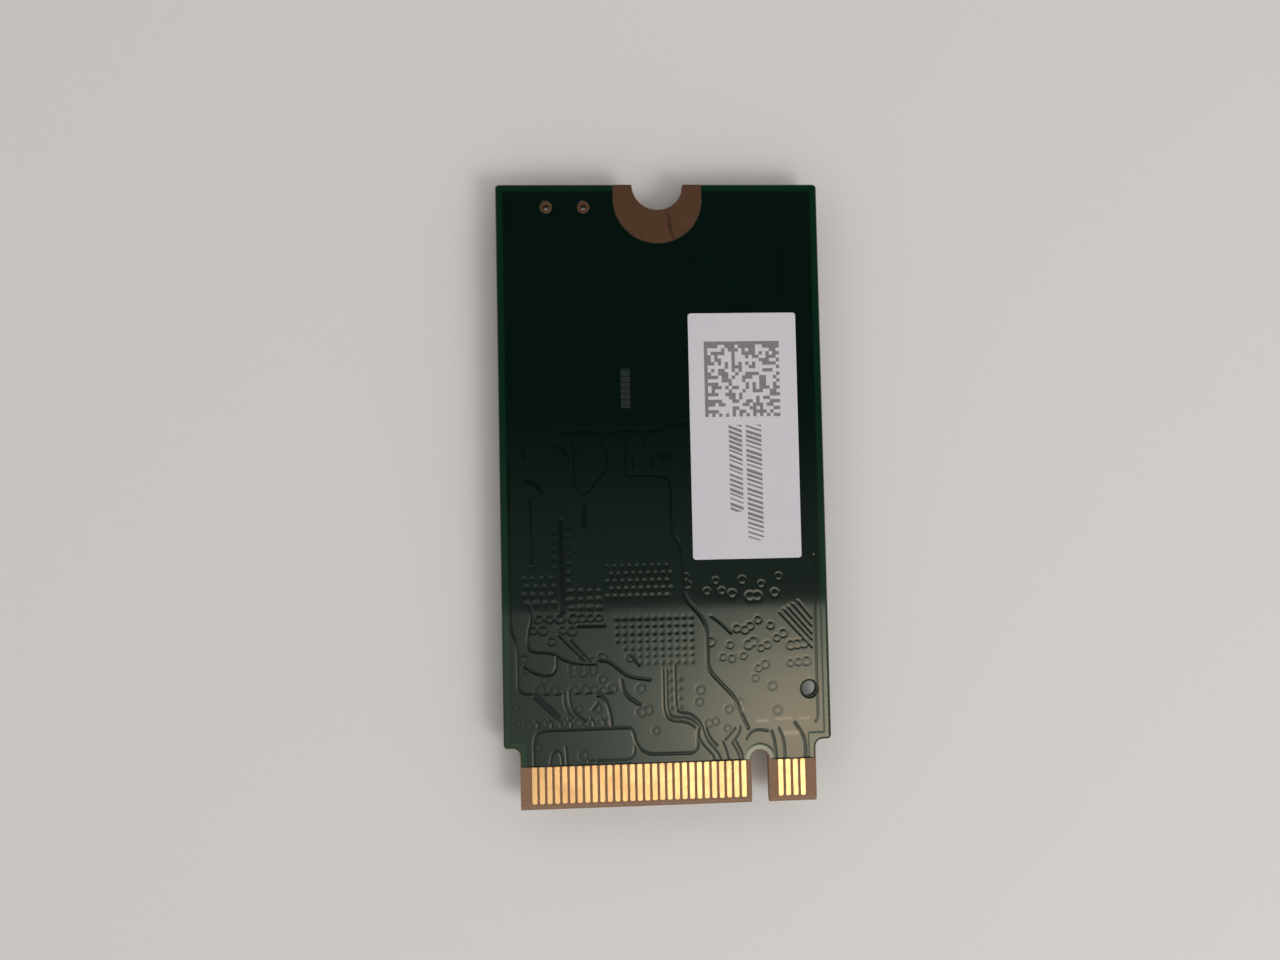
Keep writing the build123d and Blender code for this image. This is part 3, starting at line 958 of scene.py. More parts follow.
def rounded_path(corners: Sequence[Triple], chord: float, run: float) -> np.ndarray:
    """Closed outline with rounded corners.

    Args:
        corners: X, Y and radius of each corner, in order round the outline.
        chord: longest chord of an arc in millimetres.
        run: longest straight step in millimetres.

    Returns:
        Points of the outline as rows.
    """
    places, radii = np.array(corners)[:, :2], [corner[2] for corner in corners]
    around = zip(places, np.roll(places, 1, 0), np.roll(places, -1, 0), radii)
    parts = []
    for here, before, after, radius in around:
        towards = (before - here) / np.hypot(*(before - here))
        onwards = (after - here) / np.hypot(*(after - here))
        half_turn = math.acos(float(np.clip(towards @ onwards, -1.0, 1.0))) / 2.0
        reach = radius / math.tan(half_turn)
        bisector = (towards + onwards) / np.hypot(*(towards + onwards))
        middle = here + bisector * radius / math.sin(half_turn)
        steps = max(1, math.ceil(radius * (math.pi - 2.0 * half_turn) / chord))
        first, last = here + towards * reach - middle, here + onwards * reach - middle
        sweep = math.atan2(first[0] * last[1] - first[1] * last[0], first @ last)
        turn = np.linspace(0.0, sweep, steps + 1)[:, None] if radius else np.zeros((1, 1))
        parts.append(middle + np.cos(turn) * first + np.sin(turn) * first[::-1] * (-1, 1))
    outline = np.concatenate(parts)
    ahead = np.roll(outline, -1, 0)
    steps = np.maximum(1, np.ceil(np.hypot(*(ahead - outline).T) / run).astype(int))
    share = np.concatenate([np.arange(n) / n for n in steps])[:, None]
    return np.repeat(outline, steps, 0) * (1.0 - share) + np.repeat(ahead, steps, 0) * share


def box_path(box: np.ndarray, radius: float, chord: float, run: float) -> np.ndarray:
    """Outline of a box in plan with rounded corners, anticlockwise from its -X+Y corner."""
    x, y = box[[0, 0, 1, 1], 0], box[[1, 0, 0, 1], 1]
    return rounded_path([(*place, radius) for place in zip(x, y)], chord, run)


def circle(middle: Place, radius: float, count: int = 40) -> np.ndarray:
    """Points evenly round a circle, as rows."""
    turn = np.arange(count) * 2.0 * math.pi / count
    return np.array(middle) + radius * np.stack([np.cos(turn), np.sin(turn)], -1)


def inset(rims: Sequence[np.ndarray], steps: Sequence[float]) -> np.ndarray:
    """Points set in from closed outlines.

    Each step is square to the line from the point before to the point after.

    Args:
        rims: outlines that all turn anticlockwise, the outer one first and holes after it.
        steps: how far to set the points in, in millimetres.

    Returns:
        Points as rows, one for each outline's point and each step.
    """
    kept = []
    for rim, sign in zip(rims, [1.0] + [-1.0] * (len(rims) - 1)):
        run = np.roll(rim, -1, 0) - np.roll(rim, 1, 0)
        inward = sign * np.stack([-run[:, 1], run[:, 0]], -1) / np.hypot(*run.T)[:, None]
        kept += [rim + step * inward for step in steps]
    return np.concatenate(kept)


def grid(low: Place, high: Place, pitch: float) -> np.ndarray:
    """Points of a square grid that fills a rectangle, as rows."""
    axes = [np.arange(a + pitch / 2.0, b, pitch) for a, b in zip(low, high)]
    return np.stack(np.meshgrid(*axes), -1).reshape(-1, 2)


def inside(places: np.ndarray, rims: Sequence[np.ndarray]) -> np.ndarray:
    """Which places lie inside an outline with holes.

    From such a place a ray to +X crosses the rims an odd number of times.

    Args:
        places: points as rows.
        rims: closed outlines.

    Returns:
        True for each place inside.
    """
    x, y = places.T
    odd = np.zeros(len(places), bool)
    for rim in rims:
        for (x0, y0), (x1, y1) in zip(rim.tolist(), np.roll(rim, -1, 0).tolist()):
            spans = (y0 > y) != (y1 > y)
            odd[spans] ^= x[spans] < x0 + (y[spans] - y0) * (x1 - x0) / (y1 - y0)
    return odd


def triangulate(rims: Sequence[np.ndarray], inner: np.ndarray) -> tuple[np.ndarray, np.ndarray]:
    """Triangles that fill an outline with holes, through given inner points.

    Args:
        rims: closed outlines, the outer one first and holes after it.
        inner: points inside the outline, as rows.

    Returns:
        Points as rows, and triangles that all turn the same way round.
    """
    starts = np.cumsum([0] + [len(rim) for rim in rims])
    fences = [
        np.stack([np.arange(len(rim)), np.roll(np.arange(len(rim)), -1)], -1) + start
        for rim, start in zip(rims, starts)
    ]
    spots = [Vector(spot) for spot in np.concatenate([*rims, inner]).tolist()]
    edges = np.concatenate(fences).tolist()
    made = delaunay_2d_cdt(spots, edges, [], FENCED_CELLS, FENCE_REACH, False)
    plan, triangles = np.array([tuple(spot) for spot in made[0]]), np.array(made[2])
    return plan, triangles[inside(plan[triangles].mean(axis=1), rims)]


def relief_plate(
    rims: Sequence[np.ndarray],
    inner: np.ndarray,
    height: Field,
    base: float,
    side: Side,
    lip: float,
) -> Shape:
    """Thin plate whose outer face follows a height field.

    The face is a triangulation of its rims and inner points. Its rim edges are those that
    belong to one triangle only, and a wall runs from each of them to the flat base.

    Args:
        rims: closed outlines, the outer one first and holes after it.
        inner: points inside the outline.
        height: level of the face above each X and Y, in millimetres.
        base: level of the plate's other face.
        side: side of the card that the face looks out of.
        lip: how far the face drops at its rims.

    Returns:
        Corners as rows, and arrays of faces; the base meets the walls in like corners.
    """
    plan, triangles = triangulate(rims, inner)
    edges = triangles[:, [0, 1, 1, 2, 2, 0]].reshape(-1, 2)
    total = len(plan)
    alone = ~np.isin(edges[:, 0] * total + edges[:, 1], edges[:, 1] * total + edges[:, 0])
    rim_from, rim_to = edges[alone].T
    level = height(plan[:, 0], plan[:, 1])
    level[np.unique(edges[alone])] -= side.value * lip
    under, bottom = triangulate(rims, np.empty((0, 2)))
    points = np.concatenate([
        np.column_stack([plan, level]),
        np.column_stack([plan, np.full(total, base)]),
        np.column_stack([under, np.full(len(under), base)]),
    ])
    walls = np.stack([rim_to, rim_from, rim_from + total, rim_to + total], -1)
    loose = np.concatenate([triangles.ravel(), walls.ravel(), bottom[:, ::-1].ravel() + 2 * total])
    used, place = np.unique(loose, return_inverse=True)
    top, side_walls, flat = np.split(place.ravel(), [triangles.size, triangles.size + walls.size])
    turn = slice(None, None, side.value)
    parts = (top.reshape(-1, 3), side_walls.reshape(-1, 4), flat.reshape(-1, 3))
    return points[used], [part[:, turn] for part in parts]


@dataclass(frozen=True)
class Route:
    """Line of relief: its points in millimetres, and its width."""

    points: tuple[Place, ...]
    width: float

    def softened(self) -> np.ndarray:
        """Points of the line with its inner corners cut off twice, so that it bends smoothly.

        Returns:
            Points as rows.
        """
        line = np.array(self.points)
        for reach in BEND_REACHES:
            run = np.diff(line, axis=0)
            length = np.hypot(*run.T)[:, None]
            cut = run / length * np.minimum(reach, BEND_SHARE * length)
            inner = np.stack([line[:-1] + cut, line[1:] - cut], 1).reshape(-1, 2)
            line = np.concatenate([line[:1], inner[1:-1], line[-1:]])
        return line


@dataclass(frozen=True)
class ViaRow:
    """Evenly spaced vias from one place to another."""

    start: Place
    end: Place
    count: int = 1
    ringed: bool = False

    def places(self) -> np.ndarray:
        """Middles of the vias, as rows."""
        return np.linspace(self.start, self.end, self.count)


def routes(width: float, *lines: tuple[Place, ...]) -> tuple[Route, ...]:
    """Lines of relief that share one width."""
    return tuple(Route(line, width) for line in lines)


def lone(*places: Place) -> tuple[ViaRow, ...]:
    """Vias that stand by themselves, each in a ring of bare laminate."""
    return tuple(ViaRow(place, place, 1, True) for place in places)


BACK_GAPS = (
    # gap between the two large planes, from the middle of the card to the key slot
    Route(((-0.6, 1.10), (0.22, 1.02), (0.47, 0.70), (0.47, -2.9), (1.08, -3.55), (1.22, -7.1),
           (2.50, -8.6), (2.72, -9.3), (2.72, -12.0), (4.60, -14.05), (4.92, -15.1),
           (5.35, -16.0)), 0.20),
    # gaps along the sides, and broader lengths of gap in the left plane
    Route(((-10.42, 2.4), (-10.42, -8.9), (-9.99, -10.1), (-9.99, -13.25), (-8.85, -13.32)), 0.15),
    Route(((-8.85, -13.45), (-7.45, -14.85)), 0.40),
    Route(((-3.1, -12.6), (-2.95, -13.5), (-1.95, -14.2)), 0.22),
    Route(((10.14, -4.5), (10.14, -15.55), (9.95, -15.72)), 0.09),
    # islands and short traces of the left plane
    Route(((-9.0, -18.1), (-9.0, -16.2), (-8.6, -15.76), (-3.0, -15.72), (-2.40, -15.76),
           (-2.28, -16.8), (-1.60, -17.54), (1.92, -17.56), (1.92, -16.2), (2.05, -15.9)), 0.15),
    Route(((-2.30, -17.0), (-2.40, -17.85), (-5.4, -17.85)), 0.10),
    Route(((-9.15, -7.4), (-9.0, -8.3), (-9.3, -9.3), (-9.3, -10.25), (-8.95, -10.55),
           (-7.6, -10.58), (-6.85, -11.2), (-5.9, -11.4), (-4.8, -11.45)), 0.15),
    Route(((-7.42, -10.8), (-7.42, -12.0), (-8.3, -12.15), (-9.1, -11.8), (-9.6, -11.45)), 0.16),
    Route(((-5.95, -8.86), (-4.2, -8.88)), 0.20),
    *routes(0.09, ((-7.25, -9.45), (-5.55, -11.2)), ((-6.45, -9.75), (-5.15, -11.25)),
            ((-6.98, -13.2), (-6.96, -14.3), (-6.4, -15.0)), ((-4.9, -18.1), (-4.75, -17.75))),
    Route(((-4.6, -11.15), (-3.95, -11.25), (-3.3, -11.8), (-2.65, -12.35), (-1.2, -12.58)), 0.18),
    *routes(0.14, ((-2.45, -10.9), (-1.9, -11.6)), ((-5.1, -14.5), (-4.7, -14.0))),
    *[Route(((x, -13.36), (x + 0.34, -13.32)), 0.12) for x in (-8.3, -7.5, -6.2, -5.5, -4.9, -4.1)],
    Route(((-6.62, -13.2), (-6.58, -14.2), (-6.1, -14.8), (-5.55, -15.2)), 0.12),
    Route(((-4.75, -13.5), (-4.3, -13.6), (-3.9, -14.6), (-3.82, -15.6)), 0.18),
    *[Route(((x, -15.05), (x + 0.22, -15.3), (x + 0.20, -15.55)), 0.10)
      for x in (-8.9, -8.0, -7.4, -6.7, -5.2, -4.5)],
    # traces down to the contacts
    Route(((-0.30, -11.9), (-0.30, -14.9), (0.15, -15.4), (1.2, -15.42), (1.75, -15.85)), 0.10),
    Route(((-0.06, -11.9), (-0.06, -14.8), (0.3, -15.14), (1.35, -15.12), (2.05, -15.75)), 0.08),
    Route(((0.50, -11.6), (0.50, -14.5), (0.75, -14.85), (1.5, -14.85), (2.3, -15.75),
           (2.40, -16.6), (3.35, -17.7), (3.4, -18.1)), 0.11),
    *routes(0.12, ((1.92, -16.3), (2.10, -16.9), (2.95, -17.75), (3.0, -18.1)),
            ((2.50, -15.9), (2.72, -16.6), (3.2, -17.1)),
            ((3.60, -16.9), (3.85, -17.5), (3.95, -18.1)),
            ((4.25, -17.0), (4.60, -17.6), (4.75, -18.1)),
            ((4.50, -16.9), (4.85, -17.6), (4.95, -18.1)),
            ((7.45, -16.1), (7.78, -16.9), (7.80, -18.1)), ((-6.9, -16.9), (-6.82, -18.1)),
            ((-7.95, -18.1), (-7.85, -17.3), (-7.5, -17.05), (-7.2, -17.3), (-7.15, -18.1))),
    *routes(0.10, ((4.2, -17.0), (4.75, -16.3), (4.8, -15.9)), ((4.45, -16.0), (3.75, -16.75)),
            ((5.2, -16.75), (5.5, -16.25), (6.1, -16.1), (6.7, -16.25))),
    Route(((6.95, -16.3), (7.15, -17.0), (7.2, -18.1)), 0.15),
    Route(((8.55, -15.75), (9.05, -16.5), (9.25, -17.1), (9.22, -18.1)), 0.16),
    # slots and thin lines in the middle of the card
    Route(((-6.98, -1.9), (-6.98, -7.9)), 0.34),
    Route(((-5.35, -0.9), (-5.45, -2.1)), 0.30),
    Route(((3.05, -8.45), (3.5, -8.75), (4.35, -9.6)), 0.15),
    *[Route(((7.7 + step, -8.3 + 0.55 * step), (9.85, -10.7 + 1.55 * step)), 0.09)
      for step in (0.0, 0.34, 0.62, 0.95, 1.30)],
    # islands left of the label
    Route(((-7.20, 4.06), (-6.1, 4.10)), 0.14),
    Route(((-6.05, 4.13), (-4.95, 4.15)), 0.30),
    Route(((-4.9, 4.10), (-3.5, 4.10)), 0.12),
    Route(((-3.4, 4.12), (-0.15, 4.16), (0.45, 4.60), (1.90, 4.68)), 0.22),
    Route(((-6.15, 3.60), (-5.82, 2.82)), 0.16),
    Route(((-6.04, 2.92), (-6.04, 0.42), (-5.60, -0.02), (-5.20, 0.0), (-4.90, 0.35), (-4.05, 1.35),
           (-3.76, 1.75), (-3.76, 2.85), (-4.08, 3.25), (-4.12, 3.8)), 0.15),
    Route(((-7.2, 3.4), (-6.45, 2.55)), 0.26),
    Route(((-2.52, 3.9), (-2.52, 1.18)), 0.14),
    Route(((-2.45, 1.14), (-0.6, 1.10)), 0.13),
    *routes(0.18, ((-3.05, 3.85), (-3.05, 3.45)), ((-1.28, 3.9), (-1.28, 3.3)),
            ((-2.05, 2.35), (-2.05, 1.75)), ((-0.75, 2.3), (-0.75, 1.6)),
            ((-9.95, 3.6), (-9.42, 3.1), (-9.34, 2.5))),
    Route(((-0.12, 2.52), (0.35, 2.46)), 0.50),
    Route(((-9.3, 0.95), (-8.55, 0.70), (-8.22, 0.15)), 0.30),
    Route(((-8.98, -0.4), (-8.95, -4.6)), 0.16),
    # strokes by the screw seat
    *routes(0.12, ((8.45, 13.4), (8.45, 16.4)), ((2.05, 15.3), (2.2, 16.0))),
)
BACK_VIAS = (
    # rings of the left plane
    *lone((-10.1, -15.3), (-9.4, -15.4), (-8.4, -15.3), (-7.6, -15.3), (-7.05, -15.3),
          (-6.1, -15.3), (-5.55, -15.35), (-4.6, -15.35), (-4.05, -15.3), (-8.55, -13.05),
          (-7.65, -13.1), (-6.3, -13.1), (-5.6, -13.1), (-5.0, -13.1), (-4.4, -13.2),
          (-3.75, -13.1), (-9.65, -11.0), (-9.5, -11.7), (-8.3, -12.4), (-4.4, -11.0),
          (-5.05, -11.2), (-5.7, -11.05), (-7.75, -9.85), (-8.95, -9.1), (-8.3, -9.1),
          (-2.5, -11.05)),
    # short rows
    ViaRow((-6.35, -11.6), (-5.05, -11.6), 3, True),
    ViaRow((-6.35, -11.95), (-5.05, -11.95), 3, True),
    ViaRow((0.2, -12.0), (0.2, -14.5), 5),
    ViaRow((0.82, -12.6), (0.82, -14.5), 4),
    ViaRow((8.4, -10.5), (9.3, -10.4), 3, True),
    ViaRow((8.35, -11.7), (9.45, -11.6), 3, True),
    # arrays over the controller and beside it
    *[ViaRow((-3.3 + 0.5 * cut, -8.45 - 0.5 * row), (1.7, -8.45 - 0.5 * row), 11 - cut)
      for row, cut in enumerate((0, 0, 0, 0, 1, 2, 3))],
    *[ViaRow((-3.9 + lean, -5.0 - 0.5 * row), (0.1 + lean, -5.0 - 0.5 * row), 9)
      for row, lean in enumerate((0.0, 0.25, 0.0, 0.25, 0.0))],
    *[ViaRow((-9.5 + lean, -5.7 - 0.55 * row), (-7.7 + lean, -5.7 - 0.55 * row), 4)
      for row, lean in enumerate((0.0, 0.2, 0.0, 0.2))],
    *[ViaRow((-6.3, -6.6 - 0.55 * row), (-4.5, -6.6 - 0.55 * row), 4) for row in range(3)],
    ViaRow((-8.55, -8.36), (-7.15, -8.36), 3, True),
    ViaRow((-6.25, -8.36), (-4.55, -8.36), 4, True),
    ViaRow((-7.0, -9.12), (-6.35, -9.18), 2, True),
    ViaRow((-6.5, -2.3), (-6.5, -7.2), 9),
    ViaRow((-9.02, -4.95), (-9.02, -4.95)),
    ViaRow((-7.45, -2.6), (-7.45, -5.0), 5),
    # more rings, most of them on the right plane
    *lone((2.95, -10.15), (4.72, -14.3), (1.35, -5.8), (1.5, -6.35), (-8.85, -16.85),
          (-10.2, -14.15), (-6.05, -14.4), (-4.75, -14.4), (-4.4, -12.45), (-1.85, -13.15),
          (-1.85, -14.7), (-1.4, -14.6), (-0.9, -16.0), (-5.75, -17.5), (2.15, -13.35),
          (2.05, -14.15), (4.05, -14.7), (5.9, -12.65), (7.05, -13.2), (7.35, -14.85),
          (4.75, -9.3), (5.3, -9.4), (5.65, -9.15), (6.2, -8.75), (7.05, -9.15), (7.45, -10.0),
          (7.9, -9.7), (5.5, -10.4), (5.85, -10.2), (6.35, -10.65), (6.8, -10.45), (3.75, -11.2),
          (4.35, -11.3), (5.15, -11.15), (4.25, -10.4), (6.15, -12.0), (6.6, -11.75),
          (2.65, -15.6), (3.1, -15.5), (3.9, -16.0), (2.8, -6.8), (3.8, -6.8), (4.5, -7.0),
          (5.7, -7.2), (6.2, -7.2), (7.4, -7.0), (7.7, -5.9), (5.2, -6.1), (3.4, -6.1),
          (6.5, -6.4)),
)


@dataclass(frozen=True)
class FrontCopper:
    """Copper relief of the component side: lanes from the connector, a bus, and power gaps."""

    lane_width: float = 0.12
    lane_gap: float = 0.5
    lane_gather: float = 0.45
    bus_width: float = 0.11
    bus_count: int = 12
    bus_insets: Span = (3.4, 0.6)
    bus_rise: float = 1.2
    bus_shift: float = 1.2
    bus_run: float = 1.0
    via_beside: float = 0.7

    def power_x(self) -> float:
        """Middle of the room between the controller and the regulator."""
        return (node_box("controller_substrate")[1, 0] + node_box("regulator_body")[0, 0]) / 2.0

    def gaps(self) -> tuple[Route, ...]:
        """Lanes over the coupling capacitors, the bus to the flash package, and power gaps.

        Returns:
            All lines of relief of this side.
        """
        (left, low, _), (right, high, _) = node_box("controller_substrate")
        start, end = node_box("front_edge_contacts")[1, 1], node_box("flash_substrate")[0, 1]
        gap, gather, shift = self.lane_gap, self.lane_gather, self.bus_shift
        lanes, bus = [], []
        for x, y in solid_boxes("coupling_capacitor_bodies")[..., :2].mean(axis=1).tolist():
            onward = (x * (1.0 - gather) + (left + right) / 2.0 * gather, low)
            lanes += [((x, start), (x, y - gap)), ((x, y + gap), onward)]
        for x in np.linspace(left + self.bus_insets[0], right - self.bus_insets[1], self.bus_count):
            turns = ((x, high + self.bus_rise), (x + shift, end - self.bus_run))
            bus.append(((x, high), *turns, (x + shift, end)))
        x = self.power_x()
        return (
            *routes(self.lane_width, *lanes),
            *routes(self.bus_width, *bus),
            *routes(0.18, ((x, -15.6), (x, 1.2), (9.4, 1.2))),
            *routes(0.16, ((-9.9, -15.0), (-9.9, 15.6)), ((-8.6, 15.6), (8.8, 15.6))),
        )

    def vias(self) -> tuple[ViaRow, ...]:
        """Rows of vias along the edges, by the regulator and by the screw seat.

        Returns:
            All rows of vias of this side.
        """
        x = self.power_x() + self.via_beside
        return (
            ViaRow((-9.3, -14.0), (-9.3, 14.0), 15),
            ViaRow((9.8, 2.4), (9.8, 14.6), 12),
            ViaRow((x, -12.4), (x, -5.6), 7),
            ViaRow((-8.0, 16.6), (-4.4, 16.6), 7),
            ViaRow((4.4, 16.6), (8.0, 16.6), 7),
            ViaRow((-8.2, 1.6), (-4.6, 1.6), 6),
        )


@dataclass(frozen=True)
class CardOutline:
    """Masked area of the card: its own sizes, in millimetres, beside those in the frame."""

    board: np.ndarray
    contacts: np.ndarray
    seat: np.ndarray
    eyelets: np.ndarray
    tongue_half: float = 9.925
    shoulder_rise: float = 4.10
    shoulder_radius: float = 0.50
    corner_radius: float = 0.25
    slot_x: float = 6.125
    slot_half: float = 0.60
    slot_depth: float = 3.45
    hole: Place = (9.60, -13.50)
    hole_radius: float = 0.50
    hole_ease: float = 0.34
    pullback: float = 0.06
    chord: float = 0.08
    run: float = 0.30

    @property
    def shoulder_y(self) -> float:
        """Level of the shoulders either side of the tongue."""
        return self.board[0, 1] + self.shoulder_rise

    def rounds(self) -> list[tuple[Place, float]]:
        """Round openings in the mask.

        Returns:
            Middle and radius of each.
        """
        middles = self.eyelets[..., :2].mean(axis=1)
        radii = (self.eyelets[:, 1, 0] - self.eyelets[:, 0, 0]) / 2.0
        pads = [(tuple(middle), radius) for middle, radius in zip(middles.tolist(), radii.tolist())]
        return [(self.hole, self.hole_radius), *pads]

    def rims(self) -> list[np.ndarray]:
        """Outlines of the masked area, the outer one first.

        Returns:
            Closed outlines as arrays of points.
        """
        gap = self.pullback
        side, top = self.board[1, 0] - gap, self.board[1, 1] - gap
        tongue, shoulder, end = self.tongue_half - gap, self.shoulder_y + gap, self.contacts[1, 1]
        slot, slot_top = self.slot_half + gap, self.board[0, 1] + self.slot_depth + gap
        seat, seat_low = self.seat[1, 0] + gap, self.seat[0, 1] - gap
        corner, inner = self.corner_radius - gap, self.shoulder_radius + gap
        left, right = self.slot_x - slot, self.slot_x + slot
        slot_round, seat_round = slot * FULL_ROUND, seat * FULL_ROUND
        outer = [
            (-side, top, corner), (-side, shoulder, corner), (-tongue, shoulder, inner),
            (-tongue, end, 0.0), (left, end, 0.0), (left, slot_top, slot_round),
            (right, slot_top, slot_round), (right, end, 0.0), (tongue, end, 0.0),
            (tongue, shoulder, inner), (side, shoulder, corner), (side, top, corner),
            (seat, top, 0.0), (seat, seat_low, seat_round), (-seat, seat_low, seat_round),
            (-seat, top, 0.0),
        ]
        openings = [circle(middle, radius + gap) for middle, radius in self.rounds()]
        return [rounded_path(outer, self.chord, self.run), *openings]

    def edge_distance(self, x: np.ndarray, y: np.ndarray) -> np.ndarray:
        """Distance in from the card's edge, of the broad part or of the tongue.

        Args:
            x: places across the card.
            y: places along the card.

        Returns:
            Distances in millimetres, negative outside.
        """
        ends = np.minimum(self.board[1, 1] - y, y - self.shoulder_y)
        broad = np.minimum(self.board[1, 0] - np.abs(x), ends)
        tongue = np.minimum(self.tongue_half - np.abs(x), self.board[1, 1] - y)
        return np.maximum(broad, tongue)

    def copper_distance(self, x: np.ndarray, y: np.ndarray) -> np.ndarray:
        """Distance in from the card's edge, its key slot and its unplated hole.

        Args:
            x: places across the card.
            y: places along the card.

        Returns:
            Distances in millimetres, negative outside.
        """
        slot_y = self.board[0, 1] + self.slot_depth - self.slot_half
        slot = np.hypot(x - self.slot_x, np.maximum(y - slot_y, 0.0)) - self.slot_half
        hole = np.hypot(x - self.hole[0], y - self.hole[1]) - self.hole_radius
        return np.minimum(self.edge_distance(x, y), np.minimum(slot, hole + self.hole_ease))

    def margin(self, x: np.ndarray, y: np.ndarray) -> np.ndarray:
        """Distance in from the nearest rim of the masked area.

        Args:
            x: places across the card.
            y: places along the card.

        Returns:
            Distances in millimetres, negative outside.
        """
        seat_y = self.seat[0, 1] + self.seat[1, 0]
        seat = np.hypot(x, np.minimum(y - seat_y, 0.0)) - self.seat[1, 0]
        room = [self.copper_distance(x, y), seat]
        room += [np.hypot(x - m[0], y - m[1]) - r for m, r in self.rounds()]
        return np.minimum(np.minimum.reduce(room) - self.pullback, y - self.contacts[1, 1])


@dataclass(frozen=True)
class SolderMask:
    """Film of solder mask on one side, with the copper under it standing out in relief."""

    node: str
    side: Side
    outline: CardOutline
    gaps: tuple[Route, ...]
    vias: tuple[ViaRow, ...]
    finish: MaskFinish
    depth: float = 0.010
    edge_blend: float = 0.070
    dimple: float = 0.60
    dimple_radius: float = 0.15
    ring: float = 0.42
    ring_radius: float = 0.25
    ring_width: float = 0.080
    lip: float = 0.010
    rim_steps: tuple[float, ...] = (0.035, 0.085)
    fine: float = 0.052
    middling: float = 0.20
    coarse: float = 0.70
    plane_edge: Span = (0.39, 0.53)
    gap_reach: float = 1.9
    dimple_reach: float = 0.36
    ring_reach: float = 0.46
    border_reach: float = 0.11
    wide_reach: float = 4.0
    via_spread: float = 0.14
    via_turns: Place = (13.0, 7.0)
    near: float = 0.90
    far: Span = (-4.5, 1.0)
    far_loss: float = 0.72
    # painted shade: extra darkening of the grooves far from the contacts
    far_dark: float = 0.5
    sharp_deg: float = 50.0

    def gap_distance(self, x: np.ndarray, y: np.ndarray) -> np.ndarray:
        """Distance to the nearest gap's side, negative inside the gap.

        Args:
            x: places across the card.
            y: places along the card.

        Returns:
            Distance to the nearest segment of a route, less half the route's width; without
            bound further off than the film's near reach.
        """
        best = np.full(x.shape, np.inf)
        for route in self.gaps:
            corners = route.softened()
            for start, run in zip(corners, np.diff(corners, axis=0)):
                middle, half = start + run / 2.0, np.abs(run) / 2.0 + self.near
                close = (np.abs(x - middle[0]) < half[0]) & (np.abs(y - middle[1]) < half[1])
                right, up = x[close] - start[0], y[close] - start[1]
                share = np.clip((right * run[0] + up * run[1]) / (run @ run), 0.0, 1.0)
                away = np.hypot(right - share * run[0], up - share * run[1])
                best[close] = np.minimum(best[close], away - route.width / 2.0)
        return best

    def via_distance(self, x: np.ndarray, y: np.ndarray, ringed: bool) -> np.ndarray:
        """Distance to the middle of the nearest via of one kind, with a ring or without.

        Each via's distances are scaled by a sine of its place, so that no two look the same.

        Args:
            x: places across the card.
            y: places along the card.
            ringed: which kind of via.

        Returns:
            Distances, without bound further off than the film's near reach.
        """
        best = np.full(x.shape, np.inf)
        for row in self.vias:
            for middle in row.places() if row.ringed is ringed else ():
                close = (np.abs(x - middle[0]) < self.near) & (np.abs(y - middle[1]) < self.near)
                spread = 1.0 + self.via_spread * math.sin(middle @ self.via_turns)
                away = np.hypot(x[close] - middle[0], y[close] - middle[1]) * spread
                best[close] = np.minimum(best[close], away)
        return best

    def plane(self, x: np.ndarray, y: np.ndarray) -> np.ndarray:
        """1 where copper lies under the film, 0 in the bare border along the card's edges."""
        return smooth_step(self.outline.copper_distance(x, y), *self.plane_edge)

    def groove(self, x: np.ndarray, y: np.ndarray) -> np.ndarray:
        """How deep the film lies below its planes, in gaps, via dimples and rings.

        Args:
            x: places across the card.
            y: places along the card.

        Returns:
            Depths, 1 at a gap's floor; the finish paints shade into the grooves by the same share.
        """
        gap = 1.0 - smooth_step(self.gap_distance(x, y), -self.edge_blend, self.edge_blend)
        plain, ringed = self.via_distance(x, y, False), self.via_distance(x, y, True)
        dimple = self.dimple * np.exp(-((plain / self.dimple_radius) ** 2))
        ring = self.ring * np.exp(-(((ringed - self.ring_radius) / self.ring_width) ** 2))
        return np.maximum(np.maximum(gap, dimple), ring)

    def height(self, x: np.ndarray, y: np.ndarray) -> np.ndarray:
        """Level of the film: planes at the node's outer level, less its grooves.

        The grooves are shallower far from the contacts.

        Args:
            x: places across the card.
            y: places along the card.

        Returns:
            Levels in millimetres.
        """
        box = node_box(self.node)
        outer = box[1, 2] if self.side is Side.BACK else box[0, 2]
        fall = np.maximum(self.groove(x, y), 1.0 - self.plane(x, y))
        full = 1.0 - self.far_loss * smooth_step(y, *self.far)
        return outer - self.side.value * self.depth * full * fall

    def inner_points(self) -> np.ndarray:
        """Points of three grids: fine along relief, wider beside it, coarse on plain planes.

        Returns:
            Points inside the masked area, as rows.
        """
        box = node_box(self.node)
        kept = [inset(self.outline.rims(), self.rim_steps)]
        limits = (-1.0, 1.0, self.wide_reach, math.inf)
        for pitch, low, high in zip((self.fine, self.middling, self.coarse), limits, limits[1:]):
            spots = grid(box[0, :2], box[1, :2], pitch)
            x, y = spots.T
            border = self.outline.copper_distance(x, y) - sum(self.plane_edge) / 2.0
            relief = np.minimum.reduce([
                np.abs(self.gap_distance(x, y)) / (self.gap_reach * self.edge_blend),
                self.via_distance(x, y, False) / self.dimple_reach,
                self.via_distance(x, y, True) / self.ring_reach,
                np.abs(border) / self.border_reach,
            ])
            within = self.outline.margin(x, y) > self.rim_steps[-1] + 0.5 * self.fine
            kept.append(spots[within & (relief >= low) & (relief < high)])
        return np.concatenate(kept)

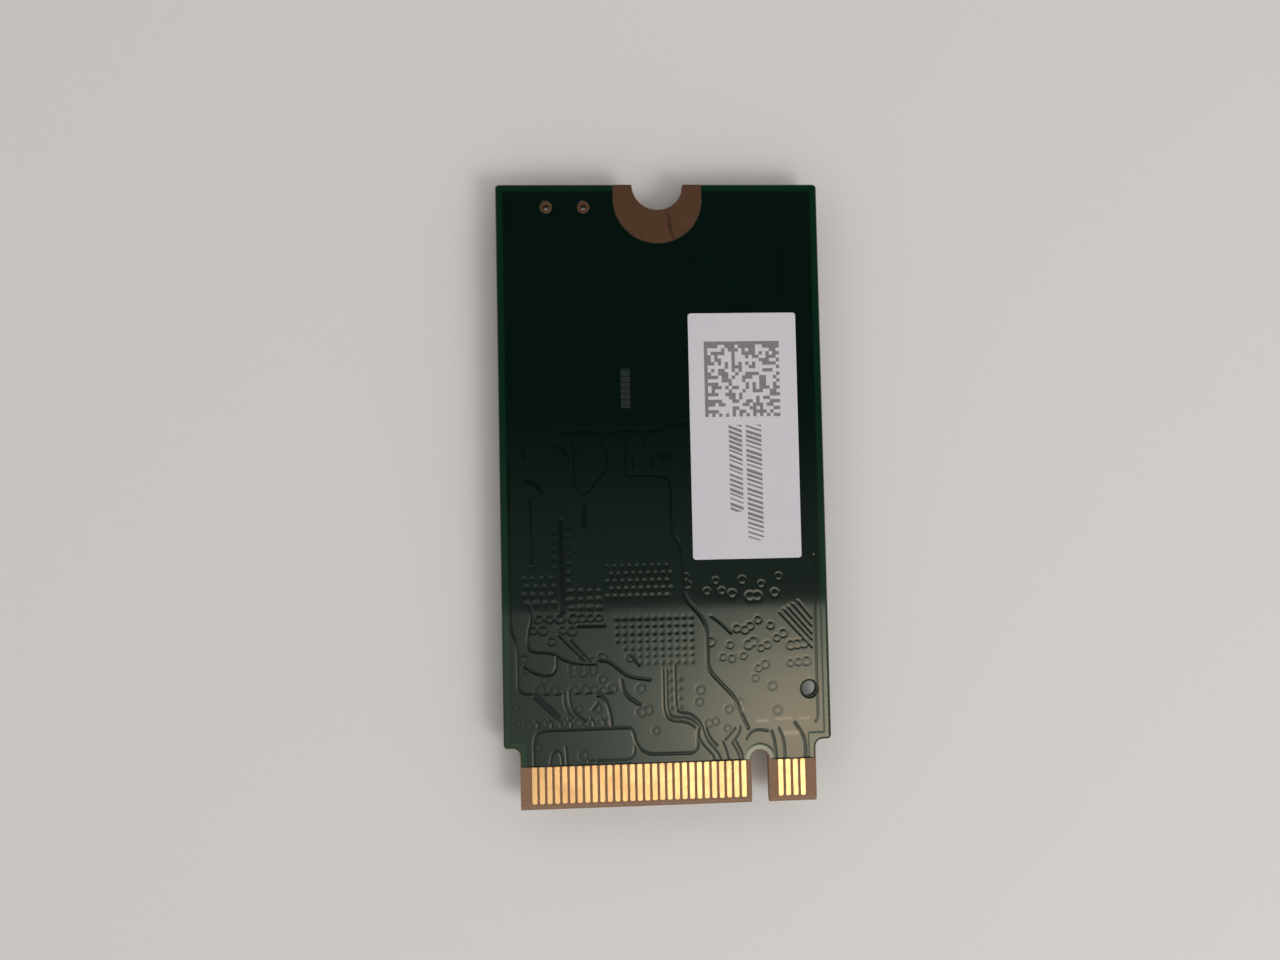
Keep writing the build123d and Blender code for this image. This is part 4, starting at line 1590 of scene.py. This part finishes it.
    def build(self) -> None:
        """Make the film, with values for the copper under it and the painted shade of its grooves.
        """
        box, rims = node_box(self.node), self.outline.rims()
        base = box[0, 2] if self.side is Side.BACK else box[1, 2]
        shape = relief_plate(rims, self.inner_points(), self.height, base, self.side, self.lip)
        x, y = shape[0][:, 0], shape[0][:, 1]
        # painted shade of the grooves, stronger far from the contacts where they are shallower
        groove = self.groove(x, y) * (1.0 + self.far_dark * smooth_step(y, *self.far))
        values = {"plane": self.plane(x, y), "groove": groove}
        add_piece(self.node + "_film", shape, self.finish, self.node, values, self.sharp_deg)


@dataclass(frozen=True)
class EdgeContacts:
    """Row of plated contacts on one side, with rounded rims and clipped leading corners."""

    node: str
    side: Side
    rim: float = 0.022
    tail_clip: float = 0.09
    lead_clip: float = 0.12

    def build(self) -> None:
        """Make all contacts of the row as one piece."""
        rims = (0.0, self.rim) if self.side is Side.BACK else (self.rim, 0.0)
        corners = (self.tail_clip, self.tail_clip, self.lead_clip, self.lead_clip)
        shape = blocks(solid_boxes(self.node), corners, upright_rings(*rims))
        add_piece(self.node + "_plated", shape, CONTACT_GOLD, self.node)


@dataclass(frozen=True)
class PaperLabel:
    """Label on the plain side: thin stock that follows the card a little."""

    node: str = "serial_label"
    corner: float = 0.20
    chord: float = 0.05
    pitch: float = 0.22
    sag: float = 0.010
    waves: tuple[Triple, ...] = ((1.1, 0.4, 0.0), (-0.6, 0.7, 1.3))
    lip: float = 0.012
    rim_steps: tuple[float, ...] = (0.03, 0.07)

    def height(self, x: np.ndarray, y: np.ndarray) -> np.ndarray:
        """Level of the paper: its node's top, less the sag times slow waves between 0 and 1.

        Args:
            x: places across the card.
            y: places along the card.

        Returns:
            Levels in millimetres.
        """
        waves = sum(np.sin(across * x + along * y + start) for across, along, start in self.waves)
        return node_box(self.node)[1, 2] - self.sag * (0.5 + 0.25 * waves)

    def build(self) -> None:
        """Make the label."""
        box = node_box(self.node)
        rims = [box_path(box, self.corner, self.chord, self.pitch)]
        sheet = grid(box[0, :2] + self.pitch / 2.0, box[1, :2] - self.pitch / 2.0, self.pitch)
        inner = np.concatenate([inset(rims, self.rim_steps), sheet])
        shape = relief_plate(rims, inner, self.height, box[0, 2], Side.BACK, self.lip)
        add_piece("paper_label", shape, PAPER, self.node)


@dataclass(frozen=True)
class BallGridPackage:
    """Moulded package on solder balls: cap with its corner mark, substrate and balls."""

    name: str
    rim: float = 0.05
    rim_turn: float = 0.96
    rim_insets: tuple[float, ...] = (0.45, 1.0, 1.7)
    mark_radius: float = 0.35
    mark_inset: float = 1.10
    mark_depth: float = 0.03
    mark_wall: Span = (-0.04, 0.02)
    mark_steps: tuple[float, ...] = (-0.06, -0.04, -0.02, 0.0, 0.02, 0.06)
    edge_pitch: float = 0.25
    face_margin: float = 0.4
    face_pitch: float = 0.5
    cap_sharp_deg: float = 38.0
    carrier_rim: float = 0.02
    ball_rings: int = 7
    pad_share: float = 0.74

    def cap_height(self, x: np.ndarray, y: np.ndarray) -> np.ndarray:
        """Level of the cap's outer face: flat, rounded off at its rim, with a round dimple.

        Args:
            x: places across the card.
            y: places along the card.

        Returns:
            Levels in millimetres.
        """
        low, high = node_box(f"{self.name}_mould_cap")
        away = np.hypot(x - low[0] - self.mark_inset, y - high[1] + self.mark_inset)
        mark = 1.0 - smooth_step(away - self.mark_radius, *self.mark_wall)
        inward = np.minimum.reduce([x - low[0], high[0] - x, y - low[1], high[1] - y])
        short = np.clip(1.0 - inward / self.rim, 0.0, 1.0)
        rounding = self.rim * (1.0 - np.sqrt(1.0 - self.rim_turn * short**2))
        return low[2] + self.mark_depth * mark + rounding

    def build_cap(self) -> None:
        """Make the moulded cap, sawn square, with rims a little rounded."""
        node = f"{self.name}_mould_cap"
        box = node_box(node)
        low, high = box[:, :2]
        mark = (low[0] + self.mark_inset, high[1] - self.mark_inset)
        rings = [circle(mark, self.mark_radius + step) for step in self.mark_steps]
        edge = box_path(box, 0.0, self.edge_pitch, self.edge_pitch)
        steps = [step * self.rim for step in self.rim_insets]
        insets = [np.clip(edge, low + step, high - step) for step in steps]
        face = grid(low + self.face_margin, high - self.face_margin, self.face_pitch)
        inner = np.concatenate([*rings, *insets, face])
        shape = relief_plate([edge], inner, self.cap_height, box[1, 2], Side.FRONT, 0.0)
        add_piece(f"{self.name}_cap", shape, MOULD, node, sharp_deg=self.cap_sharp_deg)

    def build_balls(self) -> None:
        """Make the balls: round in plan, bulging between the pads at both ends."""
        node = f"{self.name}_solder_balls"
        boxes = solid_boxes(node)
        radius = float((boxes[0, 1, 0] - boxes[0, 0, 0]) / 2.0)
        shares = np.linspace(0.0, 1.0, self.ball_rings)
        bulge = np.sqrt(1.0 - (1.0 - self.pad_share**2) * (2.0 * shares - 1.0) ** 2)
        rings = [(radius * (1.0 - wide), share, 0.0) for share, wide in zip(shares, bulge)]
        boxes[..., :2] = boxes[..., :2].mean(axis=1, keepdims=True) + [[-radius], [radius]]
        add_piece(f"{self.name}_balls", blocks(boxes, radius, rings), SOLDER, node)

    def build(self) -> None:
        """Make the cap, the substrate and the balls."""
        self.build_cap()
        node, rim = f"{self.name}_substrate", self.carrier_rim
        shape = blocks(solid_boxes(node), rim, upright_rings(0.0, rim, 2), Cut.CHAMFERED)
        add_piece(f"{self.name}_carrier", shape, SUBSTRATE, node)
        self.build_balls()


@dataclass(frozen=True)
class LeadlessPackage:
    """Square moulded package with tinned leads let into its edge."""

    name: str
    rim: float = 0.05
    corner: float = 0.04
    side_share: float = 0.75
    stand_out: float = 0.015
    lead_rim: float = 0.02
    lead_corner: float = 0.03

    def build(self) -> None:
        """Make the body and its leads."""
        node = f"{self.name}_body"
        shape = blocks(solid_boxes(node), self.corner, upright_rings(self.rim, 0.0))
        add_piece(f"{self.name}_mould", shape, MOULD, node)
        body = node_box(node)[:, :2]
        node = f"{self.name}_leads"
        boxes = solid_boxes(node)
        offset = (boxes[..., :2].mean(axis=1) - body.mean(axis=0)) / (np.ptp(body, axis=0) / 2.0)
        outward = np.where(np.abs(offset) > self.side_share, np.sign(offset), 0.0)
        boxes[:, 0, :2] += np.minimum(outward, 0.0) * self.stand_out
        boxes[:, 1, :2] += np.maximum(outward, 0.0) * self.stand_out
        shape = blocks(boxes, self.lead_corner, upright_rings(self.lead_rim, 0.0))
        add_piece(f"{self.name}_feet", shape, TIN, node)


@dataclass(frozen=True)
class PowerInductor:
    """Pressed power inductor on two flat terminals."""

    number: int
    chamfer: float = 0.25
    rim: float = 0.10
    foot_rim: float = 0.04
    pad_corner: float = 0.05
    pad_rim: float = 0.02
    fillet: float = 0.10
    fillet_steps: tuple[Place, ...] = ((0.0, 0.45), (0.4, 0.8), (1.0, 1.0))

    def build(self) -> None:
        """Make the core and its terminals."""
        node = f"inductor_{self.number}_core"
        shape = blocks(solid_boxes(node), self.chamfer, upright_rings(self.rim, self.foot_rim))
        add_piece(f"inductor_{self.number}_pressing", shape, FERRITE, node)
        node = f"inductor_{self.number}_terminals"
        rings = [(self.pad_rim, 0.0, 0.0), (0.0, 0.0, self.pad_rim)]
        rings += [(-out * self.fillet, share, 0.0) for out, share in self.fillet_steps]
        shape = blocks(solid_boxes(node), self.pad_corner, rings)
        add_piece(f"inductor_{self.number}_pads", shape, TIN, node)


@dataclass(frozen=True)
class CrystalCan:
    """Timing crystal: ceramic base under a seam-welded metal lid."""

    rim: float = 0.05
    lid_corner: float = 0.14
    base_rim: float = 0.02
    base_corner: float = 0.16

    def build(self) -> None:
        """Make the base and the lid."""
        rings = upright_rings(self.base_rim, self.base_rim, 2)
        shape = blocks(solid_boxes("crystal_base"), self.base_corner, rings)
        add_piece("crystal_ceramic_base", shape, CRYSTAL_BASE, "crystal_base")
        shape = blocks(solid_boxes("crystal_lid"), self.lid_corner, upright_rings(self.rim, 0.0))
        add_piece("crystal_welded_lid", shape, CRYSTAL_LID, "crystal_lid")


@dataclass(frozen=True)
class ChipGroup:
    """Like chip parts: fired bodies between tinned ends that solder wets to the card."""

    name: str
    finish: Finish
    rim: float = 0.03
    end_rim: float = 0.05
    end_rim_share: float = 0.2
    fillet: float = 0.10
    fillet_share: float = 0.35
    fillet_rings: int = 5
    wet_share: float = 0.55

    def build(self) -> None:
        """Make all bodies as one piece and all ends as another."""
        node = f"{self.name}_bodies"
        shape = blocks(solid_boxes(node), self.rim, upright_rings(self.rim, self.rim, 2))
        add_piece(f"{self.name}_ceramics", shape, self.finish, node)
        node = f"{self.name}_terminals"
        boxes = solid_boxes(node)
        slim = float((boxes[0, 1] - boxes[0, 0]).min())
        end_rim = min(self.end_rim, self.end_rim_share * slim)
        fillet = min(self.fillet, self.fillet_share * slim)
        rise = np.linspace(0.0, 1.0, self.fillet_rings)
        out = fillet * (1.0 - np.sqrt(1.0 - rise * rise))
        share = 1.0 - self.wet_share * (1.0 - rise)
        rings = upright_rings(end_rim, 0.0)[:-1] + [(-o, s, 0.0) for o, s in zip(out, share)]
        add_piece(f"{self.name}_ends", blocks(boxes, end_rim, rings), TIN, node)


@dataclass(frozen=True)
class TestEyelets:
    """Plated test holes: a barrel through the card with a land on each side."""

    node: str = "test_hole_eyelets"
    bore_radius: float = 0.195
    barrel_radius: float = 0.225
    land: float = 0.04
    rim: float = 0.012
    rim_share: float = 0.3
    sharp_deg: float = 50.0

    def build(self) -> None:
        """Make the eyelets by turning one profile about each hole's middle."""
        boxes = solid_boxes(self.node)
        low, high = boxes[0, 0, 2], boxes[0, 1, 2]
        pad, bore = float(boxes[0, 1, 0] - boxes[0, 0, 0]) / 2.0, self.bore_radius
        rim, ease, under = self.rim, self.rim_share * self.rim, high - self.land
        half = [
            (self.barrel_radius, under), (pad, under), (pad, high - rim), (pad - ease, high - ease),
            (pad - rim, high), (bore + rim, high), (bore + ease, high - ease), (bore, high - rim),
        ]
        mirrored = [(radius, low + high - level) for radius, level in reversed(half)]
        shape = turned(np.array(half + mirrored), boxes[..., :2].mean(axis=1))
        add_piece("test_eyelets", shape, SEAT_GOLD, self.node, sharp_deg=self.sharp_deg)


@dataclass(frozen=True)
class CardBody:
    """Laminate and screw seat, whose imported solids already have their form."""

    def build(self) -> None:
        """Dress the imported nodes."""
        for node, finish in (("circuit_board", LAMINATE), ("screw_seat_plating", SEAT_GOLD)):
            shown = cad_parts[node]
            shown.data.materials.clear()
            shown.data.materials.append(finish.material())
            log.info("%s: packed solid, dressed", node)


@dataclass(frozen=True)
class Studio:
    """Pale floor, soft sky with one dark flag over the card, a soft lamp and the camera."""

    floor_half: float = 3000.0
    floor_drop: float = 0.01
    floor_tone: Colour = (0.70, 0.69, 0.67)
    floor_rough: float = 0.9
    floor_gloss: float = 0.1
    sky: float = 1.05
    backdrop: float = 0.52
    sky_tone: Colour = (1.0, 0.99, 0.975)
    flag_tone: float = 0.010
    flag_near_tone: float = 0.24
    flag_near: float = 0.20
    flag_reach: float = 1.00
    flag_fade: float = 0.4
    opening: float = 0.45
    opening_x: Span = (-0.35, 0.50)
    opening_y: Span = (-0.46, -0.0743)
    opening_soft: float = 0.10
    opening_fade: float = 0.16
    opening_edge: float = 0.003
    lowest_slope: float = 0.02
    glow: float = 4.4
    glow_tone: Colour = (1.34, 0.97, 0.79)
    glow_at: Place = (0.22, -0.19)
    glow_size: Place = (0.10, 0.08)
    lamp_at: Triple = (210.0, -200.0, 270.0)
    lamp_size: float = 170.0
    lamp_watts: float = 0.60
    eye: Triple = (-6.325, -2.362, 75.949)
    eye_right: Triple = (0.99779, -0.02087, 0.06308)
    eye_up: Triple = (0.01811, 0.99887, 0.04395)
    focal_px: float = 1100.0
    image_width_px: float = 1280.0
    sensor_mm: float = 36.0
    clip: Span = (1.0, 12000.0)

    def build_floor(self) -> None:
        """Flat floor just under the lowest package."""
        reach, level = self.floor_half * MM, -self.floor_drop * MM
        corners = [(x * reach, y * reach, level) for x, y in ((-1, -1), (1, -1), (1, 1), (-1, 1))]
        mesh = bpy.data.meshes.new("floor")
        mesh.from_pydata(corners, [], [(0, 1, 2, 3)])
        floor = put("floor", mesh)
        made = bpy.data.materials.new("floor")
        made.use_nodes = True
        Shade(made.node_tree).surface(
            Base_Color=(*self.floor_tone, 1.0),
            Roughness=self.floor_rough,
            Specular_IOR_Level=self.floor_gloss,
        )
        mesh.materials.append(made)

    def build_sky(self) -> None:
        """Even sky round a dark flag overhead, with a lit opening in it over the connector end.

        Directions are told by their slope from straight up, X and Y over Z. The opening's near
        edge is sharp, and its light swells to a glow on one side. The camera itself sees a plain
        backdrop of the floor's tone.
        """
        world = bpy.data.worlds.new("studio_sky")
        world.use_nodes = True
        shade = Shade(world.node_tree)
        way = shade.node("ShaderNodeTexCoord", output="Generated")
        x, y, z = shade.split(way)
        up = z.most(self.lowest_slope)
        right, ahead = x / up, y / up
        far, near = self.opening_y
        out = shade.reach(right, ahead)
        flag = 1.0 - shade.ramp(out, self.flag_reach, self.flag_reach + self.flag_fade)
        hole = shade.window(right, *self.opening_x, self.opening_soft)
        hole = hole * shade.ramp(ahead, far, far + self.opening_fade)
        hole = hole * (1.0 - shade.ramp(ahead, near - self.opening_edge, near + self.opening_edge))
        from_x = (right - self.glow_at[0]) / self.glow_size[0]
        from_y = (ahead - self.glow_at[1]) / self.glow_size[1]
        glow = ((from_x * from_x + from_y * from_y) * -0.5).exponent()
        beside = 1.0 - shade.ramp(ahead, near, near + self.flag_near)
        overhead = self.flag_tone + self.flag_near_tone * beside
        overhead = overhead + hole * (self.opening + self.glow * glow)
        seen = shade.node("ShaderNodeLightPath", output="Is Camera Ray")
        strength = flag * overhead + (1.0 - flag) * self.sky
        strength = seen * self.backdrop + (1.0 - seen) * strength
        tone = shade.mix(glow * hole, self.sky_tone, self.glow_tone)
        backdrop = shade.node("ShaderNodeBackground", {"Color": tone, "Strength": strength})
        shade.node("ShaderNodeOutputWorld", {"Surface": backdrop})
        bpy.context.scene.world = world

    def build_lamp(self) -> None:
        """One soft square lamp beside the connector end, aimed at the card."""
        light = bpy.data.lights.new("soft_lamp", "AREA")
        light.size = self.lamp_size * MM
        light.energy = self.lamp_watts
        lamp = put("soft_lamp", light)
        lamp.location = Vector(self.lamp_at) * MM
        lamp.rotation_euler = (-lamp.location).to_track_quat("-Z", "Y").to_euler()
        lamp.visible_camera = lamp.visible_glossy = False

    def build_camera(self) -> None:
        """Camera at the photograph's viewing angle, over the card's middle."""
        data = bpy.data.cameras.new("camera")
        data.sensor_width = self.sensor_mm
        data.lens = self.focal_px * self.sensor_mm / self.image_width_px
        data.clip_start, data.clip_end = (reach * MM for reach in self.clip)
        camera = put("camera", data)
        right = Vector(self.eye_right).normalized()
        back = right.cross(Vector(self.eye_up)).normalized()
        turn = Matrix((right, back.cross(right), back)).transposed()
        camera.matrix_world = Matrix.Translation(Vector(self.eye) * MM) @ turn.to_4x4()
        bpy.context.scene.camera = camera

    def build(self) -> None:
        """Set the whole studio up, with plain display of colours."""
        self.build_floor()
        self.build_sky()
        self.build_lamp()
        self.build_camera()
        bpy.context.scene.view_settings.view_transform = "Standard"


def main() -> None:
    """Build the studio and every piece of the card."""
    logging.basicConfig(level=logging.INFO, format="%(name)s %(message)s")
    Studio().build()
    outline = CardOutline(
        node_box("circuit_board"),
        node_box("back_edge_contacts"),
        node_box("screw_seat_plating"),
        solid_boxes("test_hole_eyelets"),
    )
    front = FrontCopper()
    printed = tuple(
        tuple(node_box(node)[:, :2].ravel().tolist())
        for node in ("flash_substrate", "controller_substrate")
    )
    front_mask = MaskFinish("solder_mask", Side.FRONT, printed, ink_rough=0.5)
    pieces = [
        CardBody(),
        TestEyelets(),
        SolderMask("solder_mask_back", Side.BACK, outline, BACK_GAPS, BACK_VIAS, MASK),
        SolderMask(
            "solder_mask_front", Side.FRONT, outline, front.gaps(), front.vias(), front_mask
        ),
        EdgeContacts("back_edge_contacts", Side.BACK),
        EdgeContacts("front_edge_contacts", Side.FRONT),
        PaperLabel(),
        BallGridPackage("flash"),
        BallGridPackage("controller"),
        LeadlessPackage("regulator"),
        LeadlessPackage("load_switch"),
        *[PowerInductor(number) for number in (1, 2, 3)],
        CrystalCan(),
        ChipGroup("bulk_capacitor", CAPACITOR),
        ChipGroup("decoupling_capacitor", CAPACITOR),
        ChipGroup("coupling_capacitor", CAPACITOR),
        ChipGroup("resistor", RESISTOR),
        ChipGroup("input_fuse", FUSE),
    ]
    for piece in pieces:
        piece.build()


if __name__ == "__main__":
    main()
